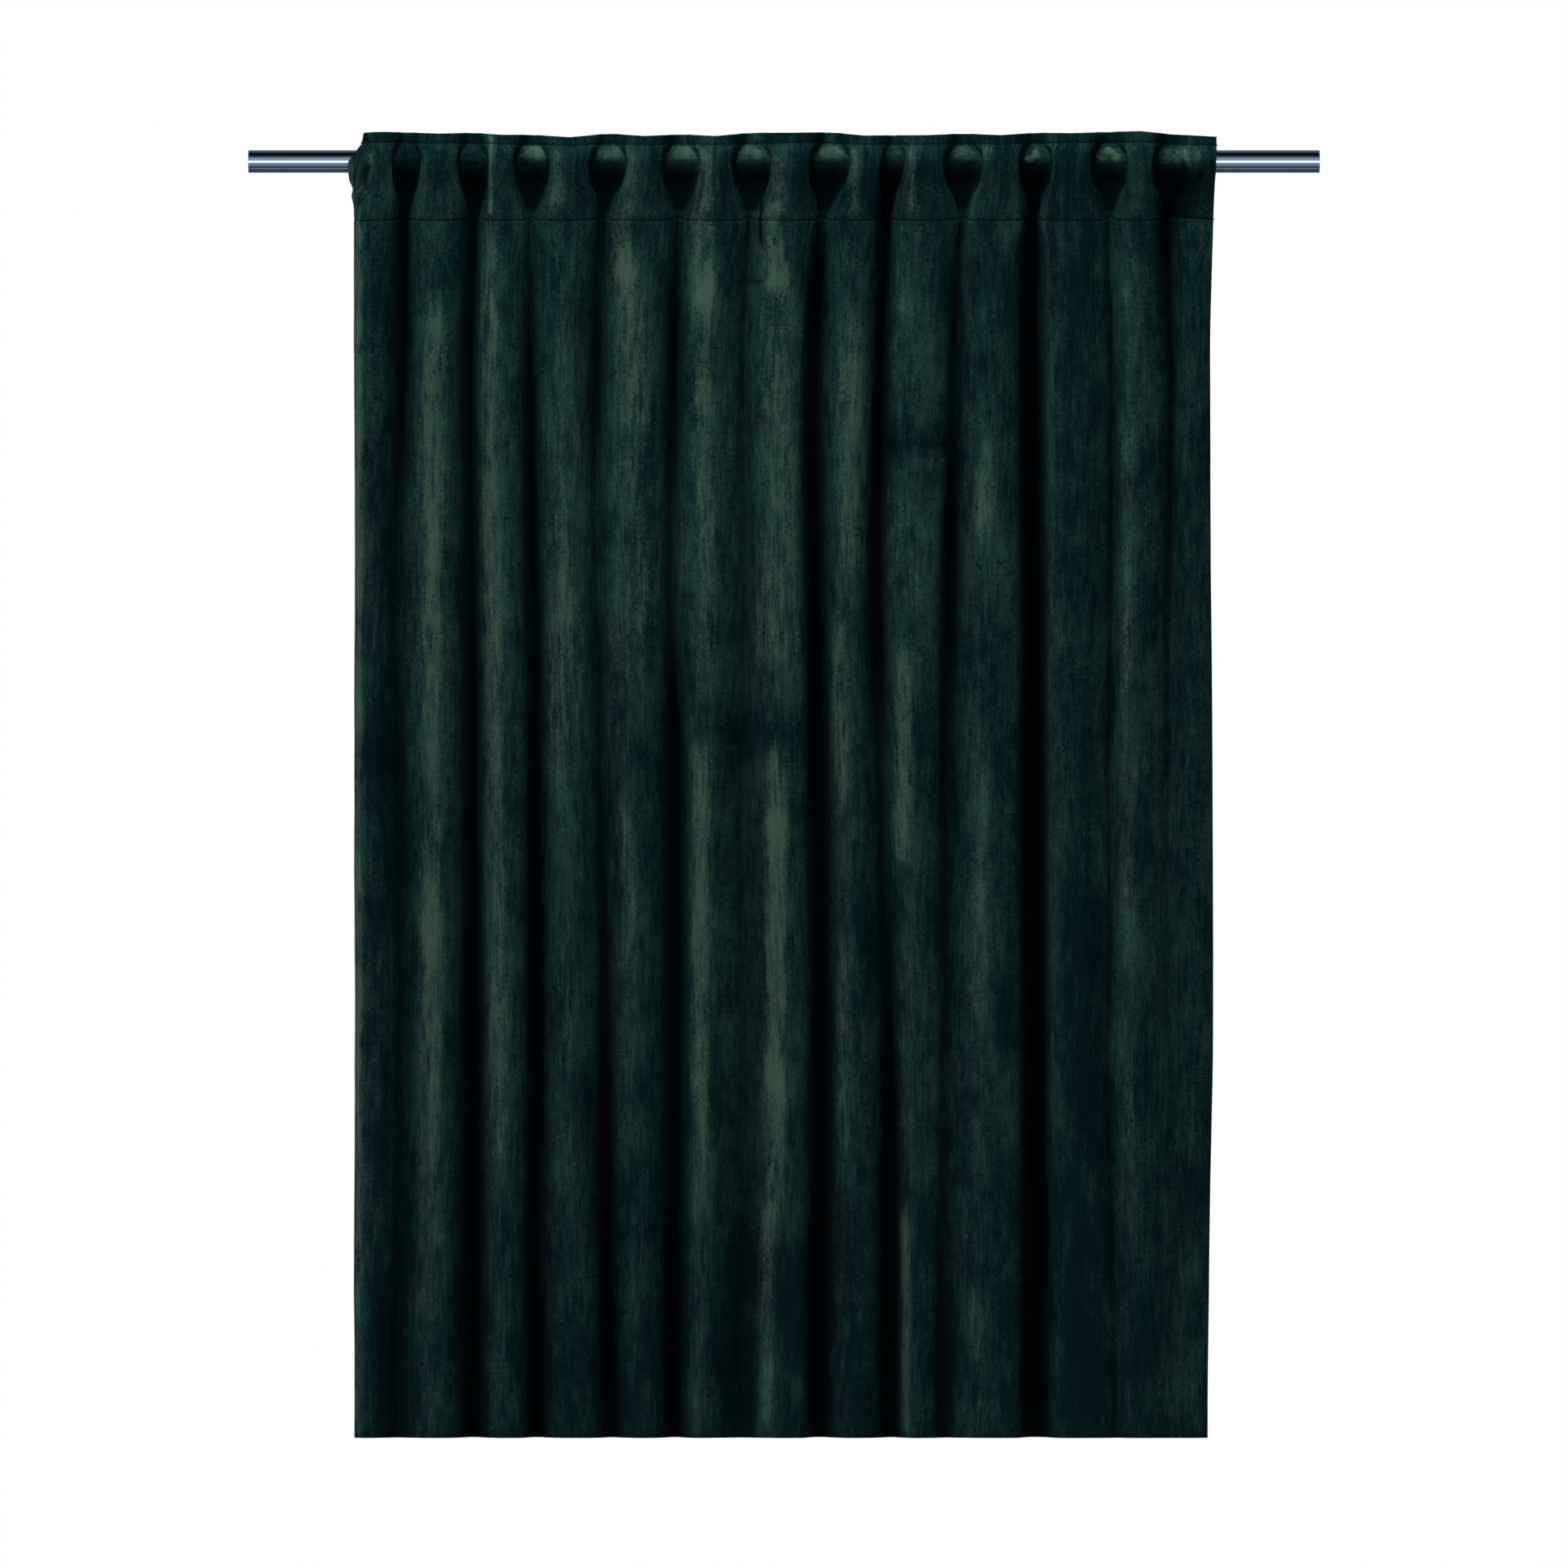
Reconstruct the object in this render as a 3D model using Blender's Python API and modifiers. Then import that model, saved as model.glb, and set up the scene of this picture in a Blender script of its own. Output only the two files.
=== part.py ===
# A velvet curtain panel with hidden back tabs, hanging on a plain round rod.
# The rod's axis is the X axis, the room side is -Y, and +Z is up.
# All sizes below are millimetres; MM turns them into metres where the meshes are made.

import math
from collections import namedtuple

import bpy

MM = 0.001

# The rod
ROD_DIAMETER = 28
ROD_LENGTH = 1320
ROD_SIDES = 64
ROD_END_BEVEL = 1.0
ROD_EDGE_ANGLE = math.radians(40)

# Heights of the drop: the header's seam, its waist, its lower stitch line, where the folds have
# settled, and the hem
SEAM = 20
WAIST = -41
STITCH = -68
UPPER = -250
HEM = -1572
FOLD_HEIGHTS = (STITCH, UPPER, HEM)

# The cloth
CLOTH_THICKNESS = 1.7
HEM_THICKNESS = 3.0
SIDE_HEM_COLUMNS = 3
HEADER_BOTTOM = -76
BOTTOM_HEM_TOP = -1512

# The hidden tabs
TAB_THICKNESS = 1.4
TAB_WIDTH = 30
TAB_TOP = 25
TAB_TOP_Y = -4.1
TAB_TOP_RUN = 4
TAB_LEAN_RUN = 7.6
TAB_LEAN = 1.4
TAB_OVER_ROD = 15.3
TAB_FOOT_HEIGHTS = (-60, STITCH, -71)
TAB_BEHIND = 3.95
TAB_ARC_START = 88
TAB_ARC_STEPS = 8
END_TAB_WIDTH = 22
LEFT_TAB_MIDDLE = -508
RIGHT_TAB_MIDDLE = 496

# Each height of the header: the cloth's front face in a recess and on a pleat, how much of the gap at
# the rod is open there, how wide the recess floor is beside the gap, and how tightly a pleat's rim turns.
Station = namedtuple("Station", "name z floor pleat gap_share floor_share rim")
HEADER = [
    Station("edge", 33, -8.0, -31, 0.52, 0.6, 11),
    Station("seam", SEAM, -8.3, -35, 0.66, 0.75, 8),
    Station("brow", 10, -16.4, -42, 0.92, 1.0, 3),
    Station("rod", 0, -19.0, -44, 1.00, 1.0, 3),
    Station("under", -12, -17.0, -43.5, 0.96, 1.0, 3),
    Station("tuck", -24, -10.5, -41, 0.84, 1.05, 3),
    Station("waist", WAIST, -4.8, -38.5, None, 1.05, 4),
    Station("stitch", STITCH, -3.8, -36.5, None, 0.9, 7),
]
BODY_FLOOR_SHARE = 0.4
BODY_FLOOR_FULL = -160

# Along a valley's side: how deep its wall point lies, how far its floor corner lifts, and the most
# that a fold's shoulder may drop, all as shares of the valley's depth
WALL_SHARE = 0.5
CORNER_LIFT = 0.06
DROP_LIMIT = 0.34

# How far the shoulders of every pleat drop in the header
HEADER_DROP = 4

# A shallow valley's floor comes forward from behind the rod to its depth at the lower stitch line
FORWARD_HEIGHTS = (-24, WAIST, STITCH)
FORWARD_SHARES = (0.0, 0.35, 1.0)

# How much of a fold's sag the rim, the wall and the floor corner of a valley take
RIM_SAG = 0.8
WALL_SAG = 0.4
CORNER_SAG = 0.1
EDGE_SAG = 0.15

# Each recess of the header, from left to right: its middle and its gap at the rod, at the waist and at
# the lower stitch line, its depth at that line, and the height of the top edge above it.
Recess = namedtuple("Recess", "name rod gap waist gap_waist stitch gap_stitch depth top")
RECESSES = [
    Recess("a", -465, 35, -466, 21, -468, 14, 31, 34.5),
    Recess("b", -383, 38, -381, 26, -383, 14, 32.7, 34.0),
    Recess("c", -311, 44, -310, 27, -311, 5, 16, 31.5),
    Recess("d", -216, 45, -220, 22, -224, 9, 23, 33.0),
    Recess("e", -127, 46, -128, 29, -129, 6, 17, 32.0),
    Recess("f", -40, 47, -40, 27, -42, 5, 15, 34.0),
    Recess("g", 57, 49, 52, 29, 47, 8, 23, 34.5),
    Recess("h", 135, 29, 129, 17, 126, 14, 32.7, 31.0),
    Recess("i", 221, 47, 220, 24, 220, 5, 16, 33.0),
    Recess("j", 310, 40, 308, 21, 307, 12, 32.7, 34.0),
    Recess("k", 400, 45, 401, 22, 401, 6, 14, 35.0),
    Recess("l", 476, 44, 473, 20, 472, 12, 32.7, 32.5),
]

# Each valley between two folds below the header, at five heights: its middle, then its depth behind the
# folds, then its gap at the top and at the hem, and how softly the cloth rolls into it from either side.
BODY_HEIGHTS = (STITCH, UPPER, -500, -800, -1200, HEM)
Valley = namedtuple("Valley", "name x depth gap_top gap_hem roll_left roll_right")
VALLEYS = [
    Valley("a", (-468, -476, -474, -467, -476), (32, 20, 18, 20, 24), 16, 24, 10, 14),
    Valley("b", (-386, -384, -382, -382, -383), (38, 40, 42, 46, 48), 12, 25, 8, 10),
    Valley("c", (-311, -309, -305, -305, -306), (28, 36, 40, 44, 46), 14, 22, 5, 14),
    Valley("d", (-229, -229, -221, -218, -213), (26, 18, 30, 40, 42), 16, 18, 10, 14),
    Valley("e", (-134, -138, -132, -133, -134), (30, 26, 44, 46, 46), 16, 20, 10, 8),
    Valley("f", (-48, -46, -46, -41, -51), (26, 18, 20, 20, 22), 18, 42, 14, 16),
    Valley("g", (37, 39, 44, 46, 44), (44, 50, 52, 52, 52), 20, 26, 4, 12),
    Valley("h", (120, 116, 122, 132, 132), (38, 38, 22, 36, 42), 14, 22, 8, 10),
    Valley("i", (214, 206, 204, 204, 200), (26, 30, 22, 16, 18), 18, 24, 4, 14),
    Valley("j", (306, 309, 309, 311, 311), (48, 52, 54, 54, 54), 25, 32, 4, 8),
    Valley("k", (406, 406, 404, 404, 411), (16, 18, 16, 14, 12), 16, 16, 14, 4),
    Valley("l", (477, 472, 469, 469, 469), (22, 18, 10, 5, 3), 18, 30, 12, 14),
]

# Each pleat of the header and the fold that falls from it: the height of the top edge there, how far
# forward it stands, where its crest lies between its two valleys, and how far its shoulders drop.
Fold = namedtuple("Fold", "name top front lean_top lean_hem drop")
FOLDS = [
    Fold("1", 35.0, -35, -0.10, -0.20, 8),
    Fold("2", 33.0, -37, -0.10, -0.15, 12),
    Fold("3", 31.5, -37, -0.15, -0.10, 12),
    Fold("4", 28.5, -38, 0.00, 0.00, 10),
    Fold("5", 30.0, -37, -0.25, -0.10, 10),
    Fold("6", 30.0, -36, -0.05, -0.20, 10),
    Fold("7", 34.0, -38, -0.10, -0.20, 10),
    Fold("8", 30.5, -36, 0.05, -0.10, 12),
    Fold("9", 31.0, -37, 0.00, -0.30, 8),
    Fold("10", 31.0, -36, 0.05, -0.05, 9),
    Fold("11", 33.5, -36, 0.00, -0.20, 5),
    Fold("12", 36.0, -36, 0.00, -0.20, 8),
]

# Place and height of the top edge's two ends
LEFT_TOP = (-534, 34.0)
RIGHT_TOP = (533, 29.5)

# The two side edges: x and y of the five points from the free edge inwards, at each height.
# On the left the edge turns back behind the first fold. On the right the cloth ends as a flat panel.
End = namedtuple("End", "z points")
LEFT_END = [
    End(33, ((-518, -8), (-516, -10), (-513, -15), (-509, -25), (-505, -32))),
    End(SEAM, ((-521, -9), (-517, -10), (-513, -14), (-509, -26), (-505, -34))),
    End(10, ((-529, -15), (-521, -16.4), (-512, -17), (-506, -29), (-502, -39))),
    End(0, ((-537, -17.5), (-527, -19), (-512, -19), (-506, -31), (-502, -41))),
    End(-12, ((-537, -16), (-528, -17.4), (-515, -17.4), (-508, -30), (-504, -40))),
    End(-24, ((-536, -11), (-529, -13), (-520, -14), (-512, -29), (-507, -38))),
    End(WAIST, ((-527, -5), (-534, -9), (-533, -16), (-525, -27), (-514, -35))),
    End(STITCH, ((-508, -4), (-519, -5.5), (-530, -14), (-530, -26), (-519, -34))),
    End(UPPER, ((-508, -6), (-519, -8), (-529, -16), (-530, -27), (-520, -34))),
    End(HEM, ((-508, -6), (-519, -8), (-529, -16), (-530, -27), (-520, -34))),
]
RIGHT_END = [
    End(33, ((488, -8), (501, -8), (515, -8), (525, -8), (533, -7))),
    End(SEAM, ((488, -9), (501, -9), (515, -9), (525, -9), (533, -8))),
    End(10, ((490, -16.4), (503, -16.4), (516, -16.4), (526, -16.4), (533, -15.5))),
    End(0, ((491, -19), (504, -19), (516, -19), (526, -19), (532.5, -18))),
    End(-12, ((490, -17), (503, -17), (515, -17), (525, -17), (532, -16))),
    End(-24, ((488, -10.5), (501, -10.5), (513, -11), (523, -12), (531, -11))),
    End(WAIST, ((484, -5), (497, -6), (510, -8), (521, -9), (530, -9))),
    End(STITCH, ((480, -5), (490, -6), (502, -8), (515, -9), (529, -8))),
    End(UPPER, ((487, -22), (496, -31), (505, -33), (515, -31), (525, -26))),
    End(-800, ((482, -28), (492, -32), (503, -33), (516, -31), (528, -27))),
    End(-1100, ((482, -29), (492, -32), (503, -33), (516, -31), (528, -27))),
    End(-1350, ((482, -31), (492, -33), (503, -33), (513, -31), (524, -27))),
    End(HEM, ((482, -32), (492, -33), (503, -33), (512, -31), (522, -27))),
]

# The rows of the cloth's grid, from the top edge down
HEADER_ROWS = (33, SEAM, 10, 0, -12, -24, WAIST, -55, STITCH, -76)
BODY_ROWS = (-105, -150, -210, -280, -360, -450, -550, -660, -780, -900, -1040, -1180, -1320, -1450,
             -1512, HEM)

# How far the lower stitch line sags between the tabs, and where that sag has faded away
STITCH_SAG = 6
SAG_GONE = -210

Material = namedtuple("Material", "colour metallic roughness")
MATERIALS = {
    "velvet": Material((0.010, 0.042, 0.034), 0.0, 0.85),
    "tab_cloth": Material((0.008, 0.030, 0.025), 0.0, 0.9),
    "chrome": Material((0.70, 0.73, 0.78), 1.0, 0.12),
}


def clear_scene():
    for item in list(bpy.data.objects):
        bpy.data.objects.remove(item, do_unlink=True)


def make_material(name):
    values = MATERIALS[name]
    material = bpy.data.materials.new(name)
    material.use_nodes = True
    shader = material.node_tree.nodes["Principled BSDF"]
    shader.inputs["Base Color"].default_value = (*values.colour, 1.0)
    shader.inputs["Metallic"].default_value = values.metallic
    shader.inputs["Roughness"].default_value = values.roughness
    material.diffuse_color = (*values.colour, 1.0)
    return material


def smooth_value(heights, values, z):
    # A smooth curve through the values at falling heights, level beyond both ends
    if z >= heights[0]:
        return values[0]
    if z <= heights[-1]:
        return values[-1]
    below = next(i for i, height in enumerate(heights) if height < z)
    above = below - 1

    def slope(i):
        if i in (0, len(heights) - 1):
            return 0.0
        return (values[i + 1] - values[i - 1]) / (heights[i + 1] - heights[i - 1])

    span = heights[below] - heights[above]
    t = (z - heights[above]) / span
    start = values[above] * (2 * t**3 - 3 * t**2 + 1) + slope(above) * span * (t**3 - 2 * t**2 + t)
    finish = values[below] * (3 * t**2 - 2 * t**3) + slope(below) * span * (t**3 - t**2)
    return start + finish


def straight_value(heights, values, z):
    # The same, in straight runs, for the header where the heights lie close together
    if z >= heights[0]:
        return values[0]
    for above in range(len(heights) - 1):
        if z >= heights[above + 1]:
            t = (z - heights[above]) / (heights[above + 1] - heights[above])
            return values[above] + t * (values[above + 1] - values[above])
    return values[-1]


def header_value(column, z):
    return straight_value([s.z for s in HEADER], [getattr(s, column) for s in HEADER], z)


def in_header(z):
    return z >= HEADER[-1].z


def recess_middle(index, z):
    recess = RECESSES[index]
    if in_header(z):
        return straight_value((0, WAIST, STITCH), (recess.rod, recess.waist, recess.stitch), z)
    return smooth_value(BODY_HEIGHTS, (recess.stitch, *VALLEYS[index].x), z)


def recess_gap(index, z):
    recess = RECESSES[index]
    valley = VALLEYS[index]
    if in_header(z):
        heights = [s.z for s in HEADER]
        gaps = [recess.gap * s.gap_share for s in HEADER if s.gap_share is not None]
        return straight_value(heights, gaps + [recess.gap_waist, recess.gap_stitch], z)
    return smooth_value(FOLD_HEIGHTS, (recess.gap_stitch, valley.gap_top, valley.gap_hem), z)


def fold_front(index, z):
    if in_header(z):
        return header_value("pleat", z)
    return smooth_value((STITCH, UPPER), (HEADER[-1].pleat, FOLDS[index].front), z)


def floor_forward(index, z):
    full = HEADER[-1].floor - HEADER[-1].pleat
    return (full - RECESSES[index].depth) * straight_value(FORWARD_HEIGHTS, FORWARD_SHARES, z)


def recess_floor(index, z):
    if in_header(z):
        return header_value("floor", z) - floor_forward(index, z)
    fronts = (fold_front(index, z) + fold_front(min(index + 1, len(FOLDS) - 1), z)) / 2
    return fronts + smooth_value(BODY_HEIGHTS, (RECESSES[index].depth, *VALLEYS[index].depth), z)


def floor_share(z):
    if in_header(z):
        return header_value("floor_share", z)
    return smooth_value((STITCH, BODY_FLOOR_FULL), (HEADER[-1].floor_share, BODY_FLOOR_SHARE), z)


def rim_turn(index, side, z):
    if in_header(z):
        return header_value("rim", z)
    roll = getattr(VALLEYS[index], side)
    return smooth_value((STITCH, UPPER), (HEADER[-1].rim, roll), z)


def end_points(table, z):
    heights = [row.z for row in table]
    value = straight_value if in_header(z) else smooth_value
    return [
        tuple(value(heights, [row.points[n][axis] for row in table], z) for axis in (0, 1))
        for n in range(len(table[0].points))
    ]


def fold_drop(fold, z):
    if in_header(z):
        return HEADER_DROP
    return smooth_value((STITCH, UPPER), (HEADER_DROP, fold.drop), z)


def valley_side(index, z, sign):
    # Rim, wall and floor corner of one side of a valley, from the fold inwards
    middle = recess_middle(index, z)
    gap = recess_gap(index, z)
    floor = recess_floor(index, z)
    fold = FOLDS[index if sign < 0 else min(index + 1, len(FOLDS) - 1)]
    front = fold_front(FOLDS.index(fold), z)
    depth = floor - front
    roll = rim_turn(index, "roll_left" if sign < 0 else "roll_right", z)
    drop = min(fold_drop(fold, z), depth * DROP_LIMIT)
    return [
        (middle + sign * (gap / 2 + roll), front + drop),
        (middle + sign * gap / 2, front + depth * WALL_SHARE),
        (middle + sign * gap / 2 * floor_share(z), floor - depth * CORNER_LIFT),
    ]


def fold_crest(index, z):
    if index:
        left = recess_middle(index - 1, z) + recess_gap(index - 1, z) / 2
    else:
        left = end_points(LEFT_END, z)[-1][0]
    right = recess_middle(index, z) - recess_gap(index, z) / 2
    lean = smooth_value(FOLD_HEIGHTS, (0.0, FOLDS[index].lean_top, FOLDS[index].lean_hem), z)
    return ((left + right) / 2 + lean * (right - left) / 2, fold_front(index, z))


def guide_points(z):
    # The plan of the cloth at one height, from its left edge to its right edge: x, y and how much
    # of the sag each point takes, from 0 in a valley's middle to 1 on a fold's crest
    left_end = end_points(LEFT_END, z)
    points = [(x, y, n / (len(left_end) - 1)) for n, (x, y) in enumerate(left_end)]
    for index in range(len(FOLDS)):
        points.append((*fold_crest(index, z), 1.0))
        rim, wall, corner = valley_side(index, z, -1)
        points += [(*rim, RIM_SAG), (*wall, WALL_SAG), (*corner, CORNER_SAG)]
        points.append((recess_middle(index, z), recess_floor(index, z), 0.0))
        if index + 1 < len(FOLDS):
            rim, wall, corner = valley_side(index, z, 1)
            points += [(*corner, CORNER_SAG), (*wall, WALL_SAG), (*rim, RIM_SAG)]
    points += [(x, y, EDGE_SAG * n) for n, (x, y) in enumerate(end_points(RIGHT_END, z))]
    return points


def smooth_row(points):
    # The cloth's stiffness rounds the guide points off, as a cubic B-spline does at its knots
    last = len(points) - 1
    return [points[0]] + [
        tuple((a + 4 * b + c) / 6 for a, b, c in zip(points[n - 1], points[n], points[n + 1]))
        for n in range(1, last)
    ] + [points[last]]


def top_edge_marks():
    # Places along the header, from left to right, and the height of the top edge at each
    marks = [LEFT_TOP, (fold_crest(0, SEAM)[0], FOLDS[0].top)]
    for index, recess in enumerate(RECESSES):
        marks.append((recess.rod, recess.top))
        if index + 1 < len(FOLDS):
            marks.append((fold_crest(index + 1, SEAM)[0], FOLDS[index + 1].top))
    return marks + [RIGHT_TOP]


def top_edge(marks, x):
    for (x0, z0), (x1, z1) in zip(marks, marks[1:]):
        if x <= x1:
            return z0 + (z1 - z0) * max(0.0, (x - x0) / (x1 - x0))
    return marks[-1][1]


def cloth_height(z, x, weight, marks):
    # The header's rows follow its uneven top edge, and its lower rows sag between the tabs
    if z > 0:
        return z + (top_edge(marks, x) - HEADER[0].z) * z / HEADER[0].z
    if in_header(z):
        return z - STITCH_SAG * weight * z / HEADER[-1].z
    if z > SAG_GONE:
        return z - STITCH_SAG * weight * (z - SAG_GONE) / (HEADER[-1].z - SAG_GONE)
    return z


def make_curtain(collection):
    rows = HEADER_ROWS + BODY_ROWS
    marks = top_edge_marks()
    grid = []
    for z in rows:
        row = smooth_row(guide_points(z))
        grid.append([(x, y, cloth_height(z, x, weight, marks)) for x, y, weight in row])
    columns = len(grid[0])
    verts = [tuple(value * MM for value in point) for row in grid for point in row]
    faces = [
        (r * columns + c, (r + 1) * columns + c, (r + 1) * columns + c + 1, r * columns + c + 1)
        for r in range(len(rows) - 1)
        for c in range(columns - 1)
    ]
    mesh = bpy.data.meshes.new("curtain_panel")
    mesh.from_pydata(verts, [], faces)
    mesh.materials.append(make_material("velvet"))
    mesh.shade_smooth()
    panel = bpy.data.objects.new("curtain_panel", mesh)
    collection.objects.link(panel)

    # The turned hems are thicker than the single cloth between them
    hems = panel.vertex_groups.new(name="hems")
    for r, z in enumerate(rows):
        for c in range(columns):
            side = c < SIDE_HEM_COLUMNS or c >= columns - SIDE_HEM_COLUMNS
            if side or z >= HEADER_BOTTOM or z <= BOTTOM_HEM_TOP:
                hems.add([r * columns + c], 1.0, "REPLACE")
    solid = panel.modifiers.new("cloth", "SOLIDIFY")
    solid.thickness = HEM_THICKNESS * MM
    solid.offset = -1.0
    solid.vertex_group = "hems"
    solid.thickness_vertex_group = CLOTH_THICKNESS / HEM_THICKNESS
    solid.use_rim = True
    return panel


def tab_foot(index):
    # The foot of a tab lies just behind the recess floor, or behind the flat cloth at the two ends
    if index is None:
        return [(HEADER[-1].floor + TAB_BEHIND, z) for z in TAB_FOOT_HEIGHTS]
    slope = (recess_floor(index, STITCH) - recess_floor(index, WAIST)) / (STITCH - WAIST)
    behind = TAB_BEHIND * math.hypot(1, slope)
    return [(recess_floor(index, z) + behind, z) for z in TAB_FOOT_HEIGHTS]


def tab_path(index):
    # Down behind the header seam, over and behind the rod, then straight down to the lower stitch line
    feet = tab_foot(index)
    foot_y, foot_z = feet[0]
    reach = math.hypot(foot_y, foot_z)
    leave = math.atan2(foot_z, foot_y) + math.acos(TAB_OVER_ROD / reach)
    start = math.radians(TAB_ARC_START)
    path = [(TAB_TOP_Y, TAB_TOP), (TAB_TOP_Y, TAB_TOP - TAB_TOP_RUN),
            (TAB_TOP_Y + TAB_LEAN, TAB_TOP - TAB_LEAN_RUN)]
    for step in range(TAB_ARC_STEPS + 1):
        angle = start + (leave - start) * step / TAB_ARC_STEPS
        path.append((TAB_OVER_ROD * math.cos(angle), TAB_OVER_ROD * math.sin(angle)))
    return path + feet


def make_tab(name, index, middle, width, material, collection):
    path = tab_path(index)
    verts = []
    for side in (-0.5, 0.5):
        verts += [((middle + side * width) * MM, y * MM, z * MM) for y, z in path]
    count = len(path)
    faces = [(n, n + 1, n + 1 + count, n + count) for n in range(count - 1)]
    mesh = bpy.data.meshes.new(name)
    mesh.from_pydata(verts, [], faces)
    mesh.materials.append(material)
    tab = bpy.data.objects.new(name, mesh)
    collection.objects.link(tab)
    solid = tab.modifiers.new("cloth", "SOLIDIFY")
    solid.thickness = TAB_THICKNESS * MM
    solid.offset = 0.0
    return tab


def make_tabs(collection):
    material = make_material("tab_cloth")
    places = [(None, LEFT_TAB_MIDDLE, END_TAB_WIDTH)]
    places += [(index, recess.rod, TAB_WIDTH) for index, recess in enumerate(RECESSES[:-1])]
    places.append((None, RIGHT_TAB_MIDDLE, TAB_WIDTH))
    for number, (index, middle, width) in enumerate(places, 1):
        make_tab(f"tab_{number:02d}", index, middle, width, material, collection)


def make_rod(collection):
    bpy.ops.mesh.primitive_cylinder_add(
        vertices=ROD_SIDES,
        radius=ROD_DIAMETER / 2 * MM,
        depth=ROD_LENGTH * MM,
        rotation=(0, math.radians(90), 0),
    )
    rod = bpy.context.object
    rod.name = "rod"
    rod.data.name = "rod"
    rod.data.materials.append(make_material("chrome"))
    rod.data.shade_smooth()
    rod.data.set_sharp_from_angle(angle=ROD_EDGE_ANGLE)
    bevel = rod.modifiers.new("end edges", "BEVEL")
    bevel.width = ROD_END_BEVEL * MM
    bevel.segments = 1
    bevel.limit_method = "ANGLE"
    bevel.angle_limit = ROD_EDGE_ANGLE
    for owner in list(rod.users_collection):
        owner.objects.unlink(rod)
    collection.objects.link(rod)
    return rod


def main():
    clear_scene()
    collection = bpy.data.collections.new("curtain_on_rod")
    bpy.context.scene.collection.children.link(collection)
    make_rod(collection)
    make_curtain(collection)
    make_tabs(collection)


main()
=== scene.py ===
import math
from collections import namedtuple

import bpy
import numpy as np
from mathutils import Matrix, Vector, noise


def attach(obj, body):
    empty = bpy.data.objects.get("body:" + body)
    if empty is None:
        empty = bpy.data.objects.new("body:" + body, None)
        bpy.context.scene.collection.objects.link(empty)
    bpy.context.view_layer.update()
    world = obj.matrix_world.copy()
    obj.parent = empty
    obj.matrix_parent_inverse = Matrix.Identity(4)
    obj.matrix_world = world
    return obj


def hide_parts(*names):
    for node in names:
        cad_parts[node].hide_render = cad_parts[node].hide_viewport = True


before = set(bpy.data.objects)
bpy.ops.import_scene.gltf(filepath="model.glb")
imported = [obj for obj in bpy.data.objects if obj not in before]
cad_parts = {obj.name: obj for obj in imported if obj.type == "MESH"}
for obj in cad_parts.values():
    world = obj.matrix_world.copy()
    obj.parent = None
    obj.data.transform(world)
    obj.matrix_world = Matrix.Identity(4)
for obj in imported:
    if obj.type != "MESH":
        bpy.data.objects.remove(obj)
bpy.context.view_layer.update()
mm = 0.001

# The photograph's camera looks straight at the cloth from far off
cameraView = {
    "distance": 30.0,
    "width": 1.932,
    "middle": -0.767,
    "sensor": 36.0,
}


def makeCamera():
    data = bpy.data.cameras.new("camera")
    data.sensor_width = cameraView["sensor"]
    data.lens = cameraView["sensor"] * cameraView["distance"] / cameraView["width"]
    camera = bpy.data.objects.new("camera", data)
    camera.location = (0, -cameraView["distance"], cameraView["middle"])
    camera.rotation_euler = (math.radians(90), 0, 0)
    bpy.context.scene.collection.objects.link(camera)
    bpy.context.scene.camera = camera


makeCamera()


# A node socket that takes part in plain sums
class Wire:
    def __init__(self, sheet, socket):
        self.sheet = sheet
        self.socket = socket

    def other(self, name):
        return Wire(self.sheet, self.socket.node.outputs[name])

    def __add__(self, value):
        return self.sheet.maths("ADD", self, value)

    def __radd__(self, value):
        return self.sheet.maths("ADD", value, self)

    def __sub__(self, value):
        return self.sheet.maths("SUBTRACT", self, value)

    def __rsub__(self, value):
        return self.sheet.maths("SUBTRACT", value, self)

    def __mul__(self, value):
        return self.sheet.maths("MULTIPLY", self, value)

    def __rmul__(self, value):
        return self.sheet.maths("MULTIPLY", value, self)

    def __truediv__(self, value):
        return self.sheet.maths("DIVIDE", self, value)

    def __rtruediv__(self, value):
        return self.sheet.maths("DIVIDE", value, self)


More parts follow.
